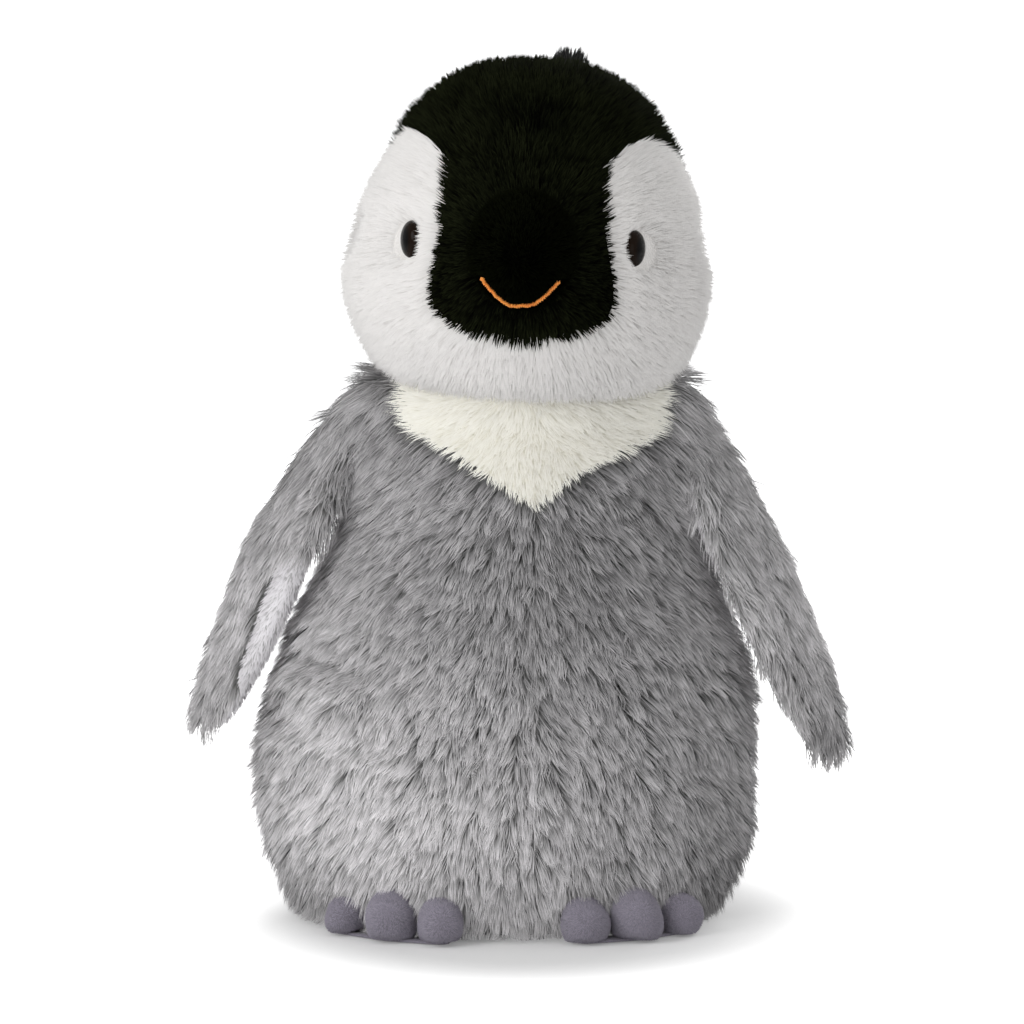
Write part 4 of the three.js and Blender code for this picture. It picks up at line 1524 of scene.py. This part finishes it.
# %% Trim the head
CROWN_HEIGHTS = (268 * MM, 286 * MM)
NAPE_HEIGHTS = (190 * MM, 208 * MM)
SEAT_RADIUS = 34 * MM
TUFT_MIDDLE = np.array([16.0, 13.0, 286.0]) * MM


def trim_head(points, out):
    """Shorter on top and round the neck, none below where the head sits, and none under the eyes."""
    height, radius = points[:, 2], np.linalg.norm(points[:, :2], axis=1)
    share = 1 - 0.3 * ramp(height, *CROWN_HEIGHTS)
    share *= 1 - 0.45 * ramp(points[:, 1], 0, 25 * MM) * (1 - ramp(height, *NAPE_HEIGHTS))
    share[(height < NAPE_HEIGHTS[0]) & (out[:, 2] < -0.9) & (radius < SEAT_RADIUS)] = 0
    for centre, axis in eye_places.values():
        away = points - centre
        flat = np.linalg.norm(away - (away @ axis)[:, None] * axis, axis=1)
        share *= ramp(flat, EYE_RADIUS - 0.4 * MM, EYE_RADIUS + 4 * MM) * 0.55 + 0.45
        share[(flat < EYE_RADIUS - 0.2 * MM) & (np.linalg.norm(away, axis=1) < 12 * MM)] = 0
    return share


def trim_tuft(points, out):
    """Only the small tuft that stands up behind the top of the head."""
    return 1 - ramp(np.linalg.norm(points - TUFT_MIDDLE, axis=1), 4.5 * MM, 8 * MM)


# %% Trim the beak and the mask
SMILE_CLEAR = 1.3 * MM
SMILE_SHORT = 3.5 * MM


def trim_beak(points, out):
    """None under the smile, and short beside it."""
    front = smile_line[:, [0, 2]]
    reach = np.array([np.linalg.norm(front - p, axis=1).min() for p in points[:, [0, 2]]])
    return np.where(reach < SMILE_CLEAR, 0.0, 0.4 + 0.6 * ramp(reach, SMILE_CLEAR, SMILE_SHORT))


def trim_mask(points, out):
    """Shorter along the sides, where the mask meets the cheeks, and none behind the beak or the smile."""
    beside = ramp(np.abs(points[:, 0] - 1 * MM), 17 * MM, 26 * MM)
    share = 1 - 0.45 * beside * (points[:, 2] < 240 * MM)
    low, high = np.array(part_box("beak_lower"))[0], np.array(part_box("beak_upper"))[1]
    middle, reach = (low + high) / 2, (high[0] - low[0]) / 2 - 1.5 * MM
    share[np.linalg.norm((points - middle)[:, [0, 2]], axis=1) < reach] = 0
    return share * trim_beak(points, out)


# %% [markdown]
# A style holds everything that makes one pile differ from another. Density counts strands to the square
# millimetre. The lifts are the angles at which a strand leaves the skin and ends, in radians. Each lock
# is the share of strands that lead one, how strongly the others are drawn to them, and how much its
# tone varies. Each shorter pile is the shag with a few values changed.

# %% Styles of pile
SHAG = {
    "density": 2.1, "length": 11.0 * MM, "width": 0.46 * MM, "steps": 3, "uneven": 0.3, "stray": 0.3,
    "root_lift": 1.25, "tip_lift": 0.6, "lift_spread": 0.12, "flat_top": 0.7, "sag": 0.05, "twist": 0.3,
    "locks": ((0.2, 0.4, 0.05), (0.055, 0.58, 0.085)), "softness": 0.88,
    "strand_tone": 0.09, "patch_tone": 0.06, "patch": 30 * MM,
}
SHORT = dict(
    SHAG, density=2.6, length=7.0 * MM, uneven=0.2, root_lift=1.25, tip_lift=0.75, stray=0.25, sag=0.02,
    locks=((0.1, 0.35, 0.03),), strand_tone=0.06, width=0.42 * MM, twist=0.1, softness=0.92, flat_top=0.0,
)
BIB = dict(SHORT, length=7.0 * MM, tip_lift=0.6, locks=((0.08, 0.35, 0.03),), softness=0.95)
MASK = dict(SHORT, length=5.5 * MM, tip_lift=0.8, softness=0.8, strand_tone=0.09, locks=((0.1, 0.4, 0.05),))
CROWN = dict(
    SHORT, length=8.0 * MM, tip_lift=0.85, softness=0.8, uneven=0.35, stray=0.35, lift_spread=0.2,
    strand_tone=0.09, patch_tone=0.08, patch=22 * MM, locks=((0.1, 0.4, 0.05),),
)
FLIPPER = dict(SHAG, length=12 * MM, tip_lift=0.1, root_lift=0.9)
LINING = dict(SHORT, length=2.6 * MM, density=3.0, tip_lift=0.5, root_lift=0.9)
TUFT = dict(SHAG, length=11.5 * MM, density=6.0, tip_lift=1.3, root_lift=1.5, flat_top=0.0, width=0.6 * MM)
BEAK = dict(SHORT, length=3.0 * MM, density=4.5, width=0.35 * MM, tip_lift=0.7)
TOE = dict(
    SHORT, length=0.9 * MM, density=9.0, width=0.16 * MM, steps=2, locks=(), tip_lift=0.9,
    strand_tone=0.1,
)

# %% Grow the body and the head
for number, panel in enumerate(BODY_PANELS):
    if panel == "bib":
        grow(panel, "torso", ivory_pile, BIB, bib_flow, 100, trim_body)
    else:
        grow(panel, "torso", silver_shag, SHAG, body_flow, 101 + number, trim_body)
for number, panel in enumerate(HEAD_PANELS):
    if panel.startswith("cheek"):
        grow(panel, "head", white_pile, SHORT, cheek_flow, 120 + number, trim_head)
    else:
        style, trim = (MASK, trim_mask) if panel == "face_mask" else (CROWN, trim_head)
        grow(panel, "head", black_pile, style, head_flow, 130 + number, trim)
grow("crown_left", "head", tuft_pile, TUFT, head_flow, 139, trim_tuft, "pile_crown_tuft")

# %% Grow the flippers, the tail, the beak and the toes
for number, side in enumerate(SIDES):
    flow = flipper_flow(side)
    outer, lining, body = f"flipper_outer_{side}", f"flipper_lining_{side}", f"flipper_{side}"
    grow(outer, body, silver_shag, FLIPPER, flow, 140 + number)
    grow(lining, body, lining_pile, LINING, flow, 150 + number)
for number, panel in enumerate(TAIL_PANELS):
    grow(panel, "tail", silver_shag, SHAG, tail_flow, 160 + number)
for number, panel in enumerate(BEAK_PANELS):
    grow(panel, "head", beak_pile, BEAK, head_flow, 170 + number, trim_beak)
for side in SIDES:
    for number, which in enumerate(TOE_DEPTH):
        grow(f"toe_{which}_{side}", "torso", toe_fuzz, TOE, tail_flow, 180 + number)
